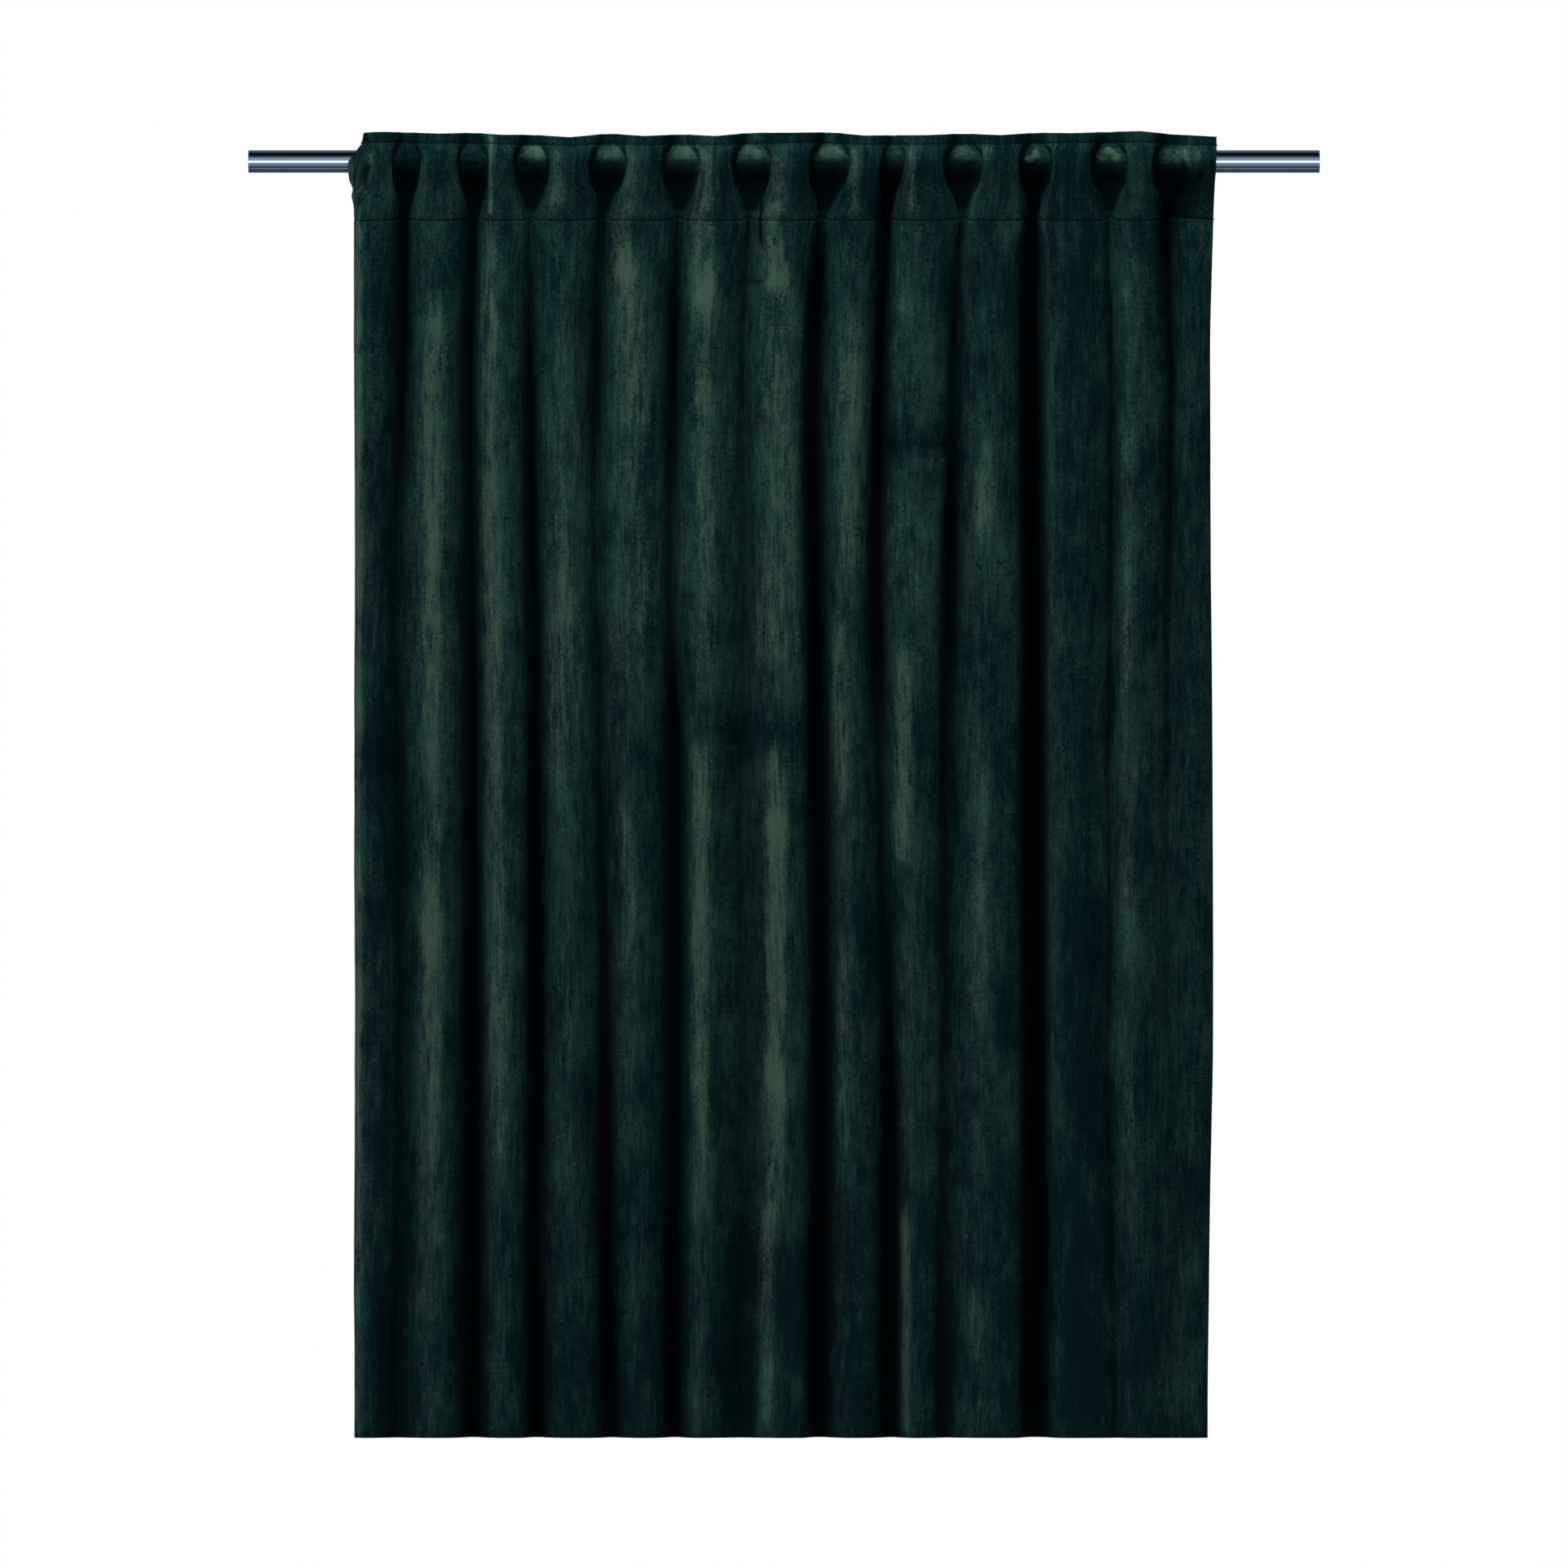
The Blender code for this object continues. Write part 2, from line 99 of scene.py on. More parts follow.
# A node tree with one way to add a node: its type, its settings, then its sockets
class NodeSheet:
    def __init__(self, tree):
        self.tree = tree

    def put(self, kind, settings=None, sockets=None, out=0):
        node = self.tree.nodes.new(kind)
        for name, value in (settings or {}).items():
            if name == "stops":
                self.setStops(node.color_ramp, value)
            else:
                setattr(node, name, value)
        for name, value in (sockets or {}).items():
            if isinstance(value, Wire):
                self.tree.links.new(value.socket, node.inputs[name])
            else:
                node.inputs[name].default_value = value
        return Wire(self, node.outputs[out]) if node.outputs else node

    def setStops(self, ramp, stops):
        while len(ramp.elements) > 1:
            ramp.elements.remove(ramp.elements[-1])
        ramp.elements[0].position = stops[0][0]
        ramp.elements[0].color = (*stops[0][1], 1)
        for place, colour in stops[1:]:
            ramp.elements.new(place).color = (*colour, 1)

    def maths(self, operation, *values):
        return self.put("ShaderNodeMath", {"operation": operation}, dict(enumerate(values)))

    def clamp(self, value):
        return self.put("ShaderNodeClamp", sockets={"Value": value})

    def ramp(self, value, low, high, fromValue=0.0, toValue=1.0):
        return self.put(
            "ShaderNodeMapRange",
            {"interpolation_type": "SMOOTHSTEP"},
            {"Value": value, "From Min": low, "From Max": high, "To Min": fromValue, "To Max": toValue},
        )

    def blend(self, share, first, second):
        return self.put("ShaderNodeMix", {"data_type": "RGBA"}, {0: share, 6: first, 7: second}, 2)

    def stretched(self, vector, scale):
        return self.put("ShaderNodeMapping", sockets={"Vector": vector, "Scale": scale})

    def grain(self, vector, scale, detail=2.0, roughness=0.5):
        return self.put(
            "ShaderNodeTexNoise",
            sockets={"Vector": vector, "Scale": scale, "Detail": detail, "Roughness": roughness},
        )

    def noise(self, vector, look):
        return self.grain(self.stretched(vector, look.scale), 1.0, look.detail, look.roughness)

    def attribute(self, name):
        return self.put("ShaderNodeAttribute", {"attribute_name": name}, out="Fac")


def newMaterial(name):
    material = bpy.data.materials.new(name)
    material.use_nodes = True
    material.node_tree.nodes.clear()
    return material, NodeSheet(material.node_tree)


def finishMaterial(sheet, sockets):
    shader = sheet.put("ShaderNodeBsdfPrincipled", sockets=sockets)
    sheet.put("ShaderNodeOutputMaterial", sockets={"Surface": shader})


def grey(value):
    return (value, value, value)


# A noise: its scales, its detail and its roughness; and the span that its values mostly keep to
Noise = namedtuple("Noise", "scale detail roughness")
noiseRange = (0.2, 0.8)


# The velvet: dark blue-green pile, greener where it is brushed up and under painted highlights, near black
# under painted shade
velvetLook = {
    # the colour of the painted shade in folds, recesses, creases and seams
    "hollow": (0.0002, 0.0014, 0.0020),
    "deep": (0.0006, 0.0062, 0.0074),
    "middle": (0.0124, 0.0345, 0.0302),
    # the colour of the brushed-up pile and of the painted highlights
    "raisedAndLit": (0.0318, 0.0602, 0.0422),
    "sheenTint": (0.12, 0.55, 0.50),
    "sheen": 0.02,
    "sheenRoughness": 0.35,
    "specular": 0.05,
    "roughDown": 0.88,
    "roughUp": 0.74,
    "pileBump": 0.4,
    "pileHeight": 0.0014,
}

# Noise in the pile, over the cut cloth's width and length
pileNoise = {
    "streaks": Noise((55, 8, 1), 5.0, 0.65),
    "clouds": Noise((20, 9, 1), 4.0, 0.6),
    "flecks": Noise((420, 240, 1), 3.0, 0.7),
    "hairs": Noise((230, 18, 1), 3.0, 0.6),
    "blots": Noise((95, 42, 1), 4.0, 0.7),
    "rumples": Noise((17, 24, 1), 2.0, 0.5),
}

# How much each noise counts: in the ragged edge of a brushed patch, in the tone of the pile, in how
# deep it lies in painted shade, and in its height
pileShares = {
    "ragged": {"streaks": 1.5, "blots": 1.2, "flecks": 1.2, "hairs": 1.1},
    "tone": {"clouds": 1.5, "blots": 1.1, "streaks": 0.8, "hairs": 1.1, "flecks": 1.4},
    "shade": {"streaks": 0.22, "flecks": 0.12},
    "height": {"flecks": 0.6, "hairs": 0.5, "streaks": 0.6, "clouds": 0.8, "blots": 0.8},
}

# Where the ramps between the colours start and end, what the brushing and the painted light add to tone and
# painted shade, and how the rumples and the painted shade of the fine creases show
pileRamps = {
    "raisedAndLit": (0.30, 1.30),
    "tone": (-0.25, 1.05),
    "toneMiddle": 0.26,
    "toneFromBrushAndLight": 0.45,
    "shadeFromBrushAndLight": 0.10,
    "rumple": 0.4,
    "rumpleLine": 0.012,
    "rumplePlaces": (0.02, 0.14),
    "creaseCore": 0.4,
    "creaseEdge": 1.6,
}


# Fine sharp creases in the pile, drawn only as painted shade: from and to in x and z, half width, and how
# dark they are
FineCrease = namedtuple("FineCrease", "x0 z0 x1 z1 half dark")
fineCreases = [
    FineCrease(-21, 22, -16, 7, 1.2, 0.5),
    FineCrease(-19, -8, -25, -33, 1.4, 0.8),
    FineCrease(-25, -33, -29, -63, 1.5, 0.9),
    FineCrease(-29, -63, -29, -99, 1.5, 0.9),
    FineCrease(-29, -99, -16, -126, 1.3, 0.5),
    FineCrease(-519, 25, -528, 11, 1.1, 0.6),
    FineCrease(-528, 11, -530, -6, 1.1, 0.6),
    FineCrease(-530, -6, -528, -36, 1.1, 0.55),
    FineCrease(-528, -36, -526, -58, 1.1, 0.5),
    FineCrease(-515, 32, -515, 23, 1.1, 0.6),
    FineCrease(-483, 35, -483, 19, 1.1, 0.5),
    FineCrease(-100, -236, -90, -230, 1.5, 0.5),
    FineCrease(-90, -230, -76, -231, 1.5, 0.5),
    FineCrease(-45, -147, -28, -148, 2.6, 0.6),
    FineCrease(-514, -10, -515, -30, 3.4, 0.7),
    FineCrease(-96, -697, -62, -700, 1.5, 0.45),
    FineCrease(-3, -739, 27, -738, 1.1, 0.5),
    FineCrease(-1, -745, 24, -746, 1.1, 0.45),
    FineCrease(143, -691, 158, -676, 1.6, 0.5),
    FineCrease(158, -676, 184, -664, 1.6, 0.4),
    FineCrease(-448, -612, -442, -620, 1.2, 0.6),
    FineCrease(134, -264, 148, -262, 1.4, 0.35),
]


def paintedCreaseShade(s):
    # the painted shade of the fine creases: how dark the nearest one is, from the distance to each in the
    # plane of the front
    place = s.put("ShaderNodeTexCoord", out="Object")
    at = s.put("ShaderNodeSeparateXYZ", sockets={"Vector": place}, out="X")
    x, z = at / mm, at.other("Z") / mm
    core, edge = pileRamps["creaseCore"], pileRamps["creaseEdge"]
    marks = 0.0
    for c in fineCreases:
        dx, dz = c.x1 - c.x0, c.z1 - c.z0
        along = s.clamp(((x - c.x0) * dx + (z - c.z0) * dz) / (dx * dx + dz * dz))
        aside, above = x - c.x0 - along * dx, z - c.z0 - along * dz
        away = s.maths("SQRT", aside * aside + above * above)
        marks = s.maths("MAXIMUM", marks, s.ramp(away, core * c.half, edge * c.half, c.dark, 0.0))
    return marks


def makeVelvet():
    look, ramps = velvetLook, pileRamps
    material, s = newMaterial("velvet")
    place = s.put("ShaderNodeUVMap", {"uv_map": "cloth"})
    noises = {name: s.noise(place, kind) - 0.5 for name, kind in pileNoise.items()}

    def mixed(use):
        return sum(share * noises[name] for name, share in pileShares[use].items())

    patchy = s.ramp(noises["clouds"] + noises["blots"], *ramps["rumplePlaces"])
    rumpled = s.ramp(s.maths("ABSOLUTE", noises["rumples"]), ramps["rumpleLine"], 0.0) * patchy
    brush = s.attribute("brush")
    # a brushed patch, and the painted highlight laid with it, has a ragged edge, because whole tufts lie one
    # way or the other
    raisedAndLit = s.ramp(brush + mixed("ragged"), *ramps["raisedAndLit"])
    # the tone varies at random and with the brushed nap, and the painted highlights and painted shade lift or
    # lower it
    tone = ramps["toneMiddle"] + ramps["toneFromBrushAndLight"] * brush + mixed("tone") - ramps["rumple"] * rumpled
    lower = s.blend(s.ramp(tone, *ramps["tone"]), (*look["deep"], 1), (*look["middle"], 1))
    # brushed-up pile and painted highlights take the greener raised colour
    lit = s.blend(raisedAndLit, lower, (*look["raisedAndLit"], 1))
    # painted shade: deep in the folds and recesses, in the creases and along the seams the colour goes to
    # near black
    shade = s.maths("MAXIMUM", s.attribute("hollow"), paintedCreaseShade(s))
    depth = s.ramp(shade - ramps["shadeFromBrushAndLight"] * brush + mixed("shade"), 0.0, 1.0)
    colour = s.blend(depth, lit, (*look["hollow"], 1))
    bump = s.put("ShaderNodeBump", sockets={"Height": mixed("height"), "Strength": look["pileBump"],
                                            "Distance": look["pileHeight"]})
    finishMaterial(s, {
        "Base Color": colour,
        "Roughness": s.ramp(raisedAndLit, 0.0, 1.0, look["roughDown"], look["roughUp"]),
        "Specular IOR Level": look["specular"],
        "Sheen Weight": look["sheen"],
        "Sheen Roughness": look["sheenRoughness"],
        "Sheen Tint": (*look["sheenTint"], 1),
        "Normal": bump,
    })
    return material


# The velvet's back and the tabs' tape: two plain weaves of nearly the same colour
weaves = {
    "velvetReverse": {
        "dark": (0.0040, 0.0120, 0.0110),
        "light": (0.0110, 0.0290, 0.0250),
        "threadsPerMetre": 1400,
    },
    "tabCloth": {
        "dark": (0.0035, 0.0110, 0.0100),
        "light": (0.0130, 0.0330, 0.0280),
        "threadsPerMetre": 1100,
    },
}
weaveLook = {
    "cloudNoise": Noise((14, 8, 1), 3.0, 0.6),
    "slubNoise": Noise((300, 12, 1), 2.0, 0.5),
    "middle": 0.15,
    "weave": 0.30,
    "clouds": 0.55,
    "cloudsFrom": 0.2,
    "slubs": 0.25,
    "slubHeight": 0.4,
    "bump": 0.3,
    "bumpHeight": 0.0004,
    "roughness": (0.82, 0.92),
    "specular": 0.2,
    "sheen": 0.04,
    "sheenRoughness": 0.5,
}


def makeWeave(name):
    look, mix = weaves[name], weaveLook
    material, s = newMaterial(name)
    place = s.put("ShaderNodeUVMap", {"uv_map": "cloth"})
    split = s.put("ShaderNodeSeparateXYZ", sockets={"Vector": place}, out="X")
    turn = 2 * math.pi * look["threadsPerMetre"]
    across = s.maths("SINE", split * turn)
    along = s.maths("SINE", split.other("Y") * turn)
    weave = 0.5 + 0.5 * across * along
    clouds = s.noise(place, mix["cloudNoise"])
    slubs = s.noise(place, mix["slubNoise"])
    share = mix["middle"] + mix["weave"] * weave + mix["clouds"] * (clouds - mix["cloudsFrom"])
    share = s.clamp(share + mix["slubs"] * (slubs - 0.5))
    bump = s.put("ShaderNodeBump", sockets={"Height": weave + mix["slubHeight"] * slubs,
                                            "Strength": mix["bump"], "Distance": mix["bumpHeight"]})
    finishMaterial(s, {
        "Base Color": s.blend(share, (*look["dark"], 1), (*look["light"], 1)),
        "Roughness": s.ramp(clouds, *noiseRange, *mix["roughness"]),
        "Specular IOR Level": mix["specular"],
        "Sheen Weight": mix["sheen"],
        "Sheen Roughness": mix["sheenRoughness"],
        "Normal": bump,
    })
    return material


# Sewing thread, darker than the pile
threadLook = {
    "dark": (0.0004, 0.0016, 0.0020),
    "light": (0.0020, 0.0070, 0.0070),
    "twistScale": 900.0,
    "fadeScale": 30.0,
    "twist": 0.7,
    "fade": 0.5,
    "fadeFrom": 0.4,
    "bump": 0.3,
    "bumpHeight": 0.0002,
    "roughness": (0.75, 0.85),
    "specular": 0.08,
}


def makeThread():
    look = threadLook
    material, s = newMaterial("thread")
    place = s.put("ShaderNodeTexCoord", out="Object")
    twist = s.grain(place, look["twistScale"])
    fade = s.grain(place, look["fadeScale"])
    share = s.clamp(look["twist"] * twist + look["fade"] * (fade - look["fadeFrom"]))
    bump = s.put("ShaderNodeBump", sockets={"Height": twist, "Strength": look["bump"],
                                            "Distance": look["bumpHeight"]})
    finishMaterial(s, {
        "Base Color": s.blend(share, (*look["dark"], 1), (*look["light"], 1)),
        "Roughness": s.ramp(fade, *noiseRange, *look["roughness"]),
        "Specular IOR Level": look["specular"],
        "Normal": bump,
    })
    return material


# The rod: polished chrome, drawn lengthwise
chromeLook = {
    "bright": (0.80, 0.83, 0.88),
    "worn": (0.66, 0.70, 0.76),
    "roughness": (0.05, 0.11),
    "drawn": Noise((3, 420, 420), 3.0, 0.6),
    "handled": Noise((24, 30, 30), 3.0, 0.6),
    "drawnShare": 0.6,
    "handledShare": 0.5,
    "less": 0.05,
    "bump": 0.02,
    "bumpHeight": 0.0002,
}


def makeChrome():
    look = chromeLook
    material, s = newMaterial("chrome")
    place = s.put("ShaderNodeTexCoord", out="Object")
    drawn = s.noise(place, look["drawn"])
    handled = s.noise(place, look["handled"])
    share = s.clamp(look["drawnShare"] * drawn + look["handledShare"] * handled - look["less"])
    bump = s.put("ShaderNodeBump", sockets={"Height": drawn, "Strength": look["bump"],
                                            "Distance": look["bumpHeight"]})
    finishMaterial(s, {
        "Base Color": s.blend(share, (*look["bright"], 1), (*look["worn"], 1)),
        "Metallic": 1.0,
        "Roughness": s.ramp(share, *noiseRange, *look["roughness"]),
        "Normal": bump,
    })
    return material


velvet = makeVelvet()
reverse = makeWeave("velvetReverse")
tabCloth = makeWeave("tabCloth")
thread = makeThread()
chrome = makeChrome()
print("materials are ready")

# Heights of the drop: the header's seam, its waist, its lower stitch line, where the folds have
# settled, and the hem
seam, waist, stitch, upper, hem = 20, -41, -68, -250, -1572
foldHeights = (stitch, upper, hem)
forwardHeights = (-24, waist, stitch)
forwardShares = (0.0, 0.35, 1.0)

cloth = {
    "single": 1.7,
    "hem": 3.0,
    "sideHem": 27,
    "headerBottom": -76,
    "bottomHemTop": -1512,
    "flatWidth": 1.46,
    "flatLength": 1.78,
    "finishedWidth": 1.42,
    "edgeTurn": 1.2,
    "edgeShare": 0.45,
    "edgeColumn": 0.12,
    "topLift": 1.0,
}

# Each height of the header: the cloth's front face in a recess and on a pleat, how much of the gap at
# the rod is open there, how wide the recess floor is beside the gap, and how tightly a pleat's rim turns
Station = namedtuple("Station", "name z floor pleat gapShare floorShare rim")
header = [
    Station("edge", 33, -8.0, -31, 0.52, 0.6, 11),
    Station("seam", seam, -8.3, -35, 0.66, 0.75, 8),
    Station("brow", 10, -16.4, -42, 0.92, 1.25, -1),
    Station("rod", 0, -19.0, -44, 1.00, 1.25, -1),
    Station("under", -12, -17.0, -43.5, 0.96, 1.25, -1),
    Station("tuck", -24, -10.5, -41, 0.84, 1.2, 0),
    Station("waist", waist, -4.8, -38.5, None, 1.05, 3),
    Station("stitch", stitch, -3.8, -36.5, None, 0.9, 7),
]

# How a valley's sides turn: shares of its depth, its gap and the sag of the cloth that its points
# take, the lengths of its rims, and the heights at which these change
valleyShape = {
    "floorShare": 0.4,
    "floorFull": -160,
    "wall": 0.5,
    "cornerLift": 0.06,
    "dropLimit": 0.34,
    "headerDrop": 4,
    "stillShut": 0.35,
    "opensBy": -112,
    "softRim": 10,
    "roundRim": 11,
    "rimSag": 0.8,
    "wallSag": 0.4,
    "cornerSag": 0.1,
    "edgeSag": 0.15,
    "stitchSag": 6,
    "sagGone": -210,
    "shoulderHeader": 0.2,
    "shoulderBody": 0.4,
    "shoulderLift": 0.5,
}

# Each recess of the header, from left to right: its middle and its gap at the rod, at the waist and at
# the lower stitch line, its depth at that line, and the height of the top edge above it
Recess = namedtuple("Recess", "name rod gap waist gapWaist stitch gapStitch depth top")
recesses = [
    Recess("a", -465, 35, -466, 21, -468, 14, 31, 34.5),
    Recess("b", -383, 38, -381, 26, -383, 14, 32.7, 34.0),
    Recess("c", -311, 44, -310, 27, -311, 5, 16, 31.5),
    Recess("d", -216, 45, -220, 22, -224, 9, 23, 33.0),
    Recess("e", -127, 46, -128, 29, -129, 6, 17, 32.0),
    Recess("f", -40, 47, -40, 27, -42, 5, 15, 34.0),
    Recess("g", 57, 49, 52, 29, 47, 8, 23, 34.5),
    Recess("h", 135, 29, 129, 17, 126, 14, 32.7, 31.0),
    Recess("i", 221, 47, 220, 24, 220, 5, 16, 33.0),
    Recess("j", 310, 40, 308, 21, 307, 12, 32.7, 34.0),
    Recess("k", 400, 45, 401, 22, 401, 6, 14, 35.0),
    Recess("l", 476, 44, 473, 20, 472, 12, 32.7, 32.5),
]

# Each valley between two folds below the header, at five heights: its middle, then its depth behind
# the folds, then its gap at the top and at the hem, and how softly the cloth rolls into it
bodyHeights = (stitch, upper, -500, -800, -1200, hem)
Valley = namedtuple("Valley", "name x depth gapTop gapHem rollLeft rollRight")
valleys = [
    Valley("a", (-468, -475, -471, -467, -476), (32, 22, 25, 22, 24), 16, 24, 10, 14),
    Valley("b", (-386, -384, -382, -382, -383), (38, 40, 42, 46, 48), 12, 25, 8, 10),
    Valley("c", (-311, -309, -305, -305, -306), (28, 36, 40, 44, 46), 14, 22, 5, 14),
    Valley("d", (-229, -229, -221, -218, -213), (26, 18, 24, 32, 40), 16, 18, 10, 14),
    Valley("e", (-134, -138, -132, -133, -134), (30, 20, 40, 46, 46), 16, 20, 10, 8),
    Valley("f", (-48, -46, -46, -41, -51), (17, 17, 20, 20, 22), 18, 42, 14, 16),
    Valley("g", (37, 39, 44, 46, 44), (44, 50, 52, 52, 52), 20, 26, 4, 12),
    Valley("h", (120, 116, 122, 132, 132), (38, 38, 22, 36, 42), 14, 22, 8, 10),
    Valley("i", (214, 206, 204, 204, 200), (22, 30, 22, 18, 22), 18, 24, 4, 14),
    Valley("j", (306, 309, 309, 311, 311), (48, 52, 54, 54, 54), 25, 32, 4, 8),
    Valley("k", (406, 406, 404, 404, 411), (16, 18, 16, 14, 12), 16, 16, 14, 4),
    Valley("l", (482, 479, 477, 472, 469), (22, 18, 10, 5, 3), 18, 30, 6, 14),
]

# Each pleat of the header and the fold that falls from it: the height of the top edge there, how far
# forward it stands, where its crest lies between its two valleys, and how far its shoulders drop
Fold = namedtuple("Fold", "name top front leanTop leanHem drop")
folds = [
    Fold("1", 35.0, -35, -0.10, -0.20, 8),
    Fold("2", 33.0, -37, -0.10, -0.15, 12),
    Fold("3", 31.5, -37, -0.15, -0.10, 12),
    Fold("4", 28.5, -38, 0.00, 0.00, 10),
    Fold("5", 30.0, -37, -0.25, -0.10, 10),
    Fold("6", 30.0, -36, -0.05, -0.20, 10),
    Fold("7", 34.0, -38, -0.10, -0.20, 10),
    Fold("8", 30.5, -36, 0.05, -0.10, 12),
    Fold("9", 31.0, -37, 0.00, -0.30, 8),
    Fold("10", 31.0, -36, 0.05, -0.05, 9),
    Fold("11", 33.5, -36, 0.00, -0.20, 5),
    Fold("12", 36.0, -36, 0.00, -0.20, 8),
]
leftTop, rightTop = (-534, 34.0), (533, 29.5)

# The two side edges: x and y of the five points from the free edge inwards on the left, and
# outwards on the right, at each height
End = namedtuple("End", "z points")
leftEnd = [
    End(33, ((-518, -8), (-516, -10), (-513, -15), (-509, -25), (-505, -32))),
    End(seam, ((-521, -9), (-517, -10), (-513, -14), (-509, -26), (-505, -34))),
    End(10, ((-529, -15), (-521, -16.4), (-512, -17), (-506, -29), (-502, -39))),
    End(0, ((-537, -17.5), (-527, -19), (-512, -19), (-506, -31), (-502, -41))),
    End(-12, ((-537, -16), (-528, -17.4), (-515, -17.4), (-508, -30), (-504, -40))),
    End(-24, ((-536, -11), (-529, -13), (-520, -14), (-512, -29), (-507, -38))),
    End(waist, ((-527, -5), (-534, -9), (-533, -16), (-525, -27), (-514, -35))),
    End(stitch, ((-508, -4), (-519, -5.5), (-530, -14), (-530, -26), (-519, -34))),
    End(upper, ((-508, -6), (-519, -8), (-529, -16), (-530, -27), (-520, -34))),
    End(hem, ((-508, -6), (-519, -8), (-529, -16), (-530, -27), (-520, -34))),
]
rightEnd = [
    End(33, ((488, -8), (501, -8), (515, -8), (525, -8), (533, -7))),
    End(seam, ((488, -9), (501, -9), (515, -9), (525, -9), (533, -8))),
    End(10, ((490, -16.4), (503, -16.4), (516, -16.4), (526, -16.4), (533, -15.5))),
    End(0, ((491, -19), (504, -19), (516, -19), (526, -19), (532.5, -18))),
    End(-12, ((490, -17), (503, -17), (515, -17), (525, -17), (532, -16))),
    End(-24, ((488, -10.5), (501, -10.5), (513, -11), (523, -12), (531, -11))),
    End(waist, ((484, -5), (497, -6), (510, -8), (521, -9), (530, -9))),
    End(stitch, ((480, -5), (490, -6), (502, -8), (515, -9), (529, -8))),
    End(upper, ((487, -22), (496, -31), (505, -33), (515, -31), (525, -26))),
    End(-800, ((482, -28), (492, -32), (503, -33), (516, -31), (528, -27))),
    End(-1100, ((482, -29), (492, -32), (503, -33), (516, -31), (528, -27))),
    End(-1350, ((482, -31), (492, -33), (503, -33), (513, -31), (524, -27))),
    End(hem, ((482, -32), (492, -33), (503, -33), (512, -31), (522, -27))),
]


def smoothValue(heights, values, z):
    # a smooth curve through the values at falling heights, level beyond both ends
    if z >= heights[0]:
        return values[0]
    if z <= heights[-1]:
        return values[-1]
    below = next(i for i, height in enumerate(heights) if height < z)
    above = below - 1

    def slope(i):
        if i in (0, len(heights) - 1):
            return 0.0
        return (values[i + 1] - values[i - 1]) / (heights[i + 1] - heights[i - 1])

    span = heights[below] - heights[above]
    t = (z - heights[above]) / span
    start = values[above] * (2 * t**3 - 3 * t**2 + 1) + slope(above) * span * (t**3 - 2 * t**2 + t)
    finish = values[below] * (3 * t**2 - 2 * t**3) + slope(below) * span * (t**3 - t**2)
    return start + finish


def straightValue(heights, values, z):
    return float(np.interp(-z, [-height for height in heights], values))


def headerValue(column, z):
    return straightValue([s.z for s in header], [getattr(s, column) for s in header], z)


def inHeader(z):
    return z >= header[-1].z


def recessMiddle(index, z):
    recess = recesses[index]
    if inHeader(z):
        return straightValue((0, waist, stitch), (recess.rod, recess.waist, recess.stitch), z)
    return smoothValue(bodyHeights, (recess.stitch, *valleys[index].x), z)


def recessGap(index, z):
    recess = recesses[index]
    valley = valleys[index]
    if inHeader(z):
        gaps = [recess.gap * s.gapShare for s in header if s.gapShare is not None]
        return straightValue([s.z for s in header], gaps + [recess.gapWaist, recess.gapStitch], z)
    opened = valley.gapTop + (recess.gapStitch - valley.gapTop) * valleyShape["stillShut"]
    heights = (stitch, valleyShape["opensBy"], upper, hem)
    return smoothValue(heights, (recess.gapStitch, opened, valley.gapTop, valley.gapHem), z)


def foldFront(index, z):
    if inHeader(z):
        return headerValue("pleat", z)
    return smoothValue((stitch, upper), (header[-1].pleat, folds[index].front), z)


def floorForward(index, z):
    # a shallow valley's floor comes forward from behind the rod to its depth at the lower stitch line
    full = header[-1].floor - header[-1].pleat
    return (full - recesses[index].depth) * straightValue(forwardHeights, forwardShares, z)


def recessFloor(index, z):
    if inHeader(z):
        return headerValue("floor", z) - floorForward(index, z)
    fronts = (foldFront(index, z) + foldFront(min(index + 1, len(folds) - 1), z)) / 2
    return fronts + smoothValue(bodyHeights, (recesses[index].depth, *valleys[index].depth), z)


def floorShare(z):
    if inHeader(z):
        return headerValue("floorShare", z)
    shares = (header[-1].floorShare, valleyShape["floorShare"])
    return smoothValue((stitch, valleyShape["floorFull"]), shares, z)


def rimTurn(index, side, z):
    if inHeader(z):
        return headerValue("rim", z)
    soft = getattr(valleys[index], side)
    settled = valleyShape["softRim"]
    heights = (stitch, valleyShape["opensBy"], upper)
    return smoothValue(heights, (header[-1].rim, max(soft, settled), soft), z)


def endPoints(table, z):
    heights = [row.z for row in table]
    value = straightValue if inHeader(z) else smoothValue
    return [
        tuple(value(heights, [row.points[n][axis] for row in table], z) for axis in (0, 1))
        for n in range(len(table[0].points))
    ]


def foldDrop(fold, z):
    if inHeader(z):
        return valleyShape["headerDrop"]
    return smoothValue((stitch, upper), (valleyShape["headerDrop"], fold.drop), z)


def valleySide(index, z, sign):
    # rim, wall and floor corner of one side of a valley, from the fold inwards
    middle = recessMiddle(index, z)
    gap = recessGap(index, z)
    floor = recessFloor(index, z)
    fold = folds[index if sign < 0 else min(index + 1, len(folds) - 1)]
    front = foldFront(folds.index(fold), z)
    depth = floor - front
    side = "rollLeft" if sign < 0 else "rollRight"
    roll = rimTurn(index, side, z)
    drop = min(foldDrop(fold, z) * rimRoundness(index, side), depth * valleyShape["dropLimit"])
    return [
        (middle + sign * (gap / 2 + roll), front + drop),
        (middle + sign * gap / 2 * max(1.0, floorShare(z)), front + depth * valleyShape["wall"]),
        (middle + sign * gap / 2 * floorShare(z), floor - depth * valleyShape["cornerLift"]),
    ]


def rimRoundness(index, side):
    # a tightly turned rim stays flat, with little painted shade, up to its edge
    return min(1.0, (getattr(valleys[index], side) + 1) / valleyShape["roundRim"])


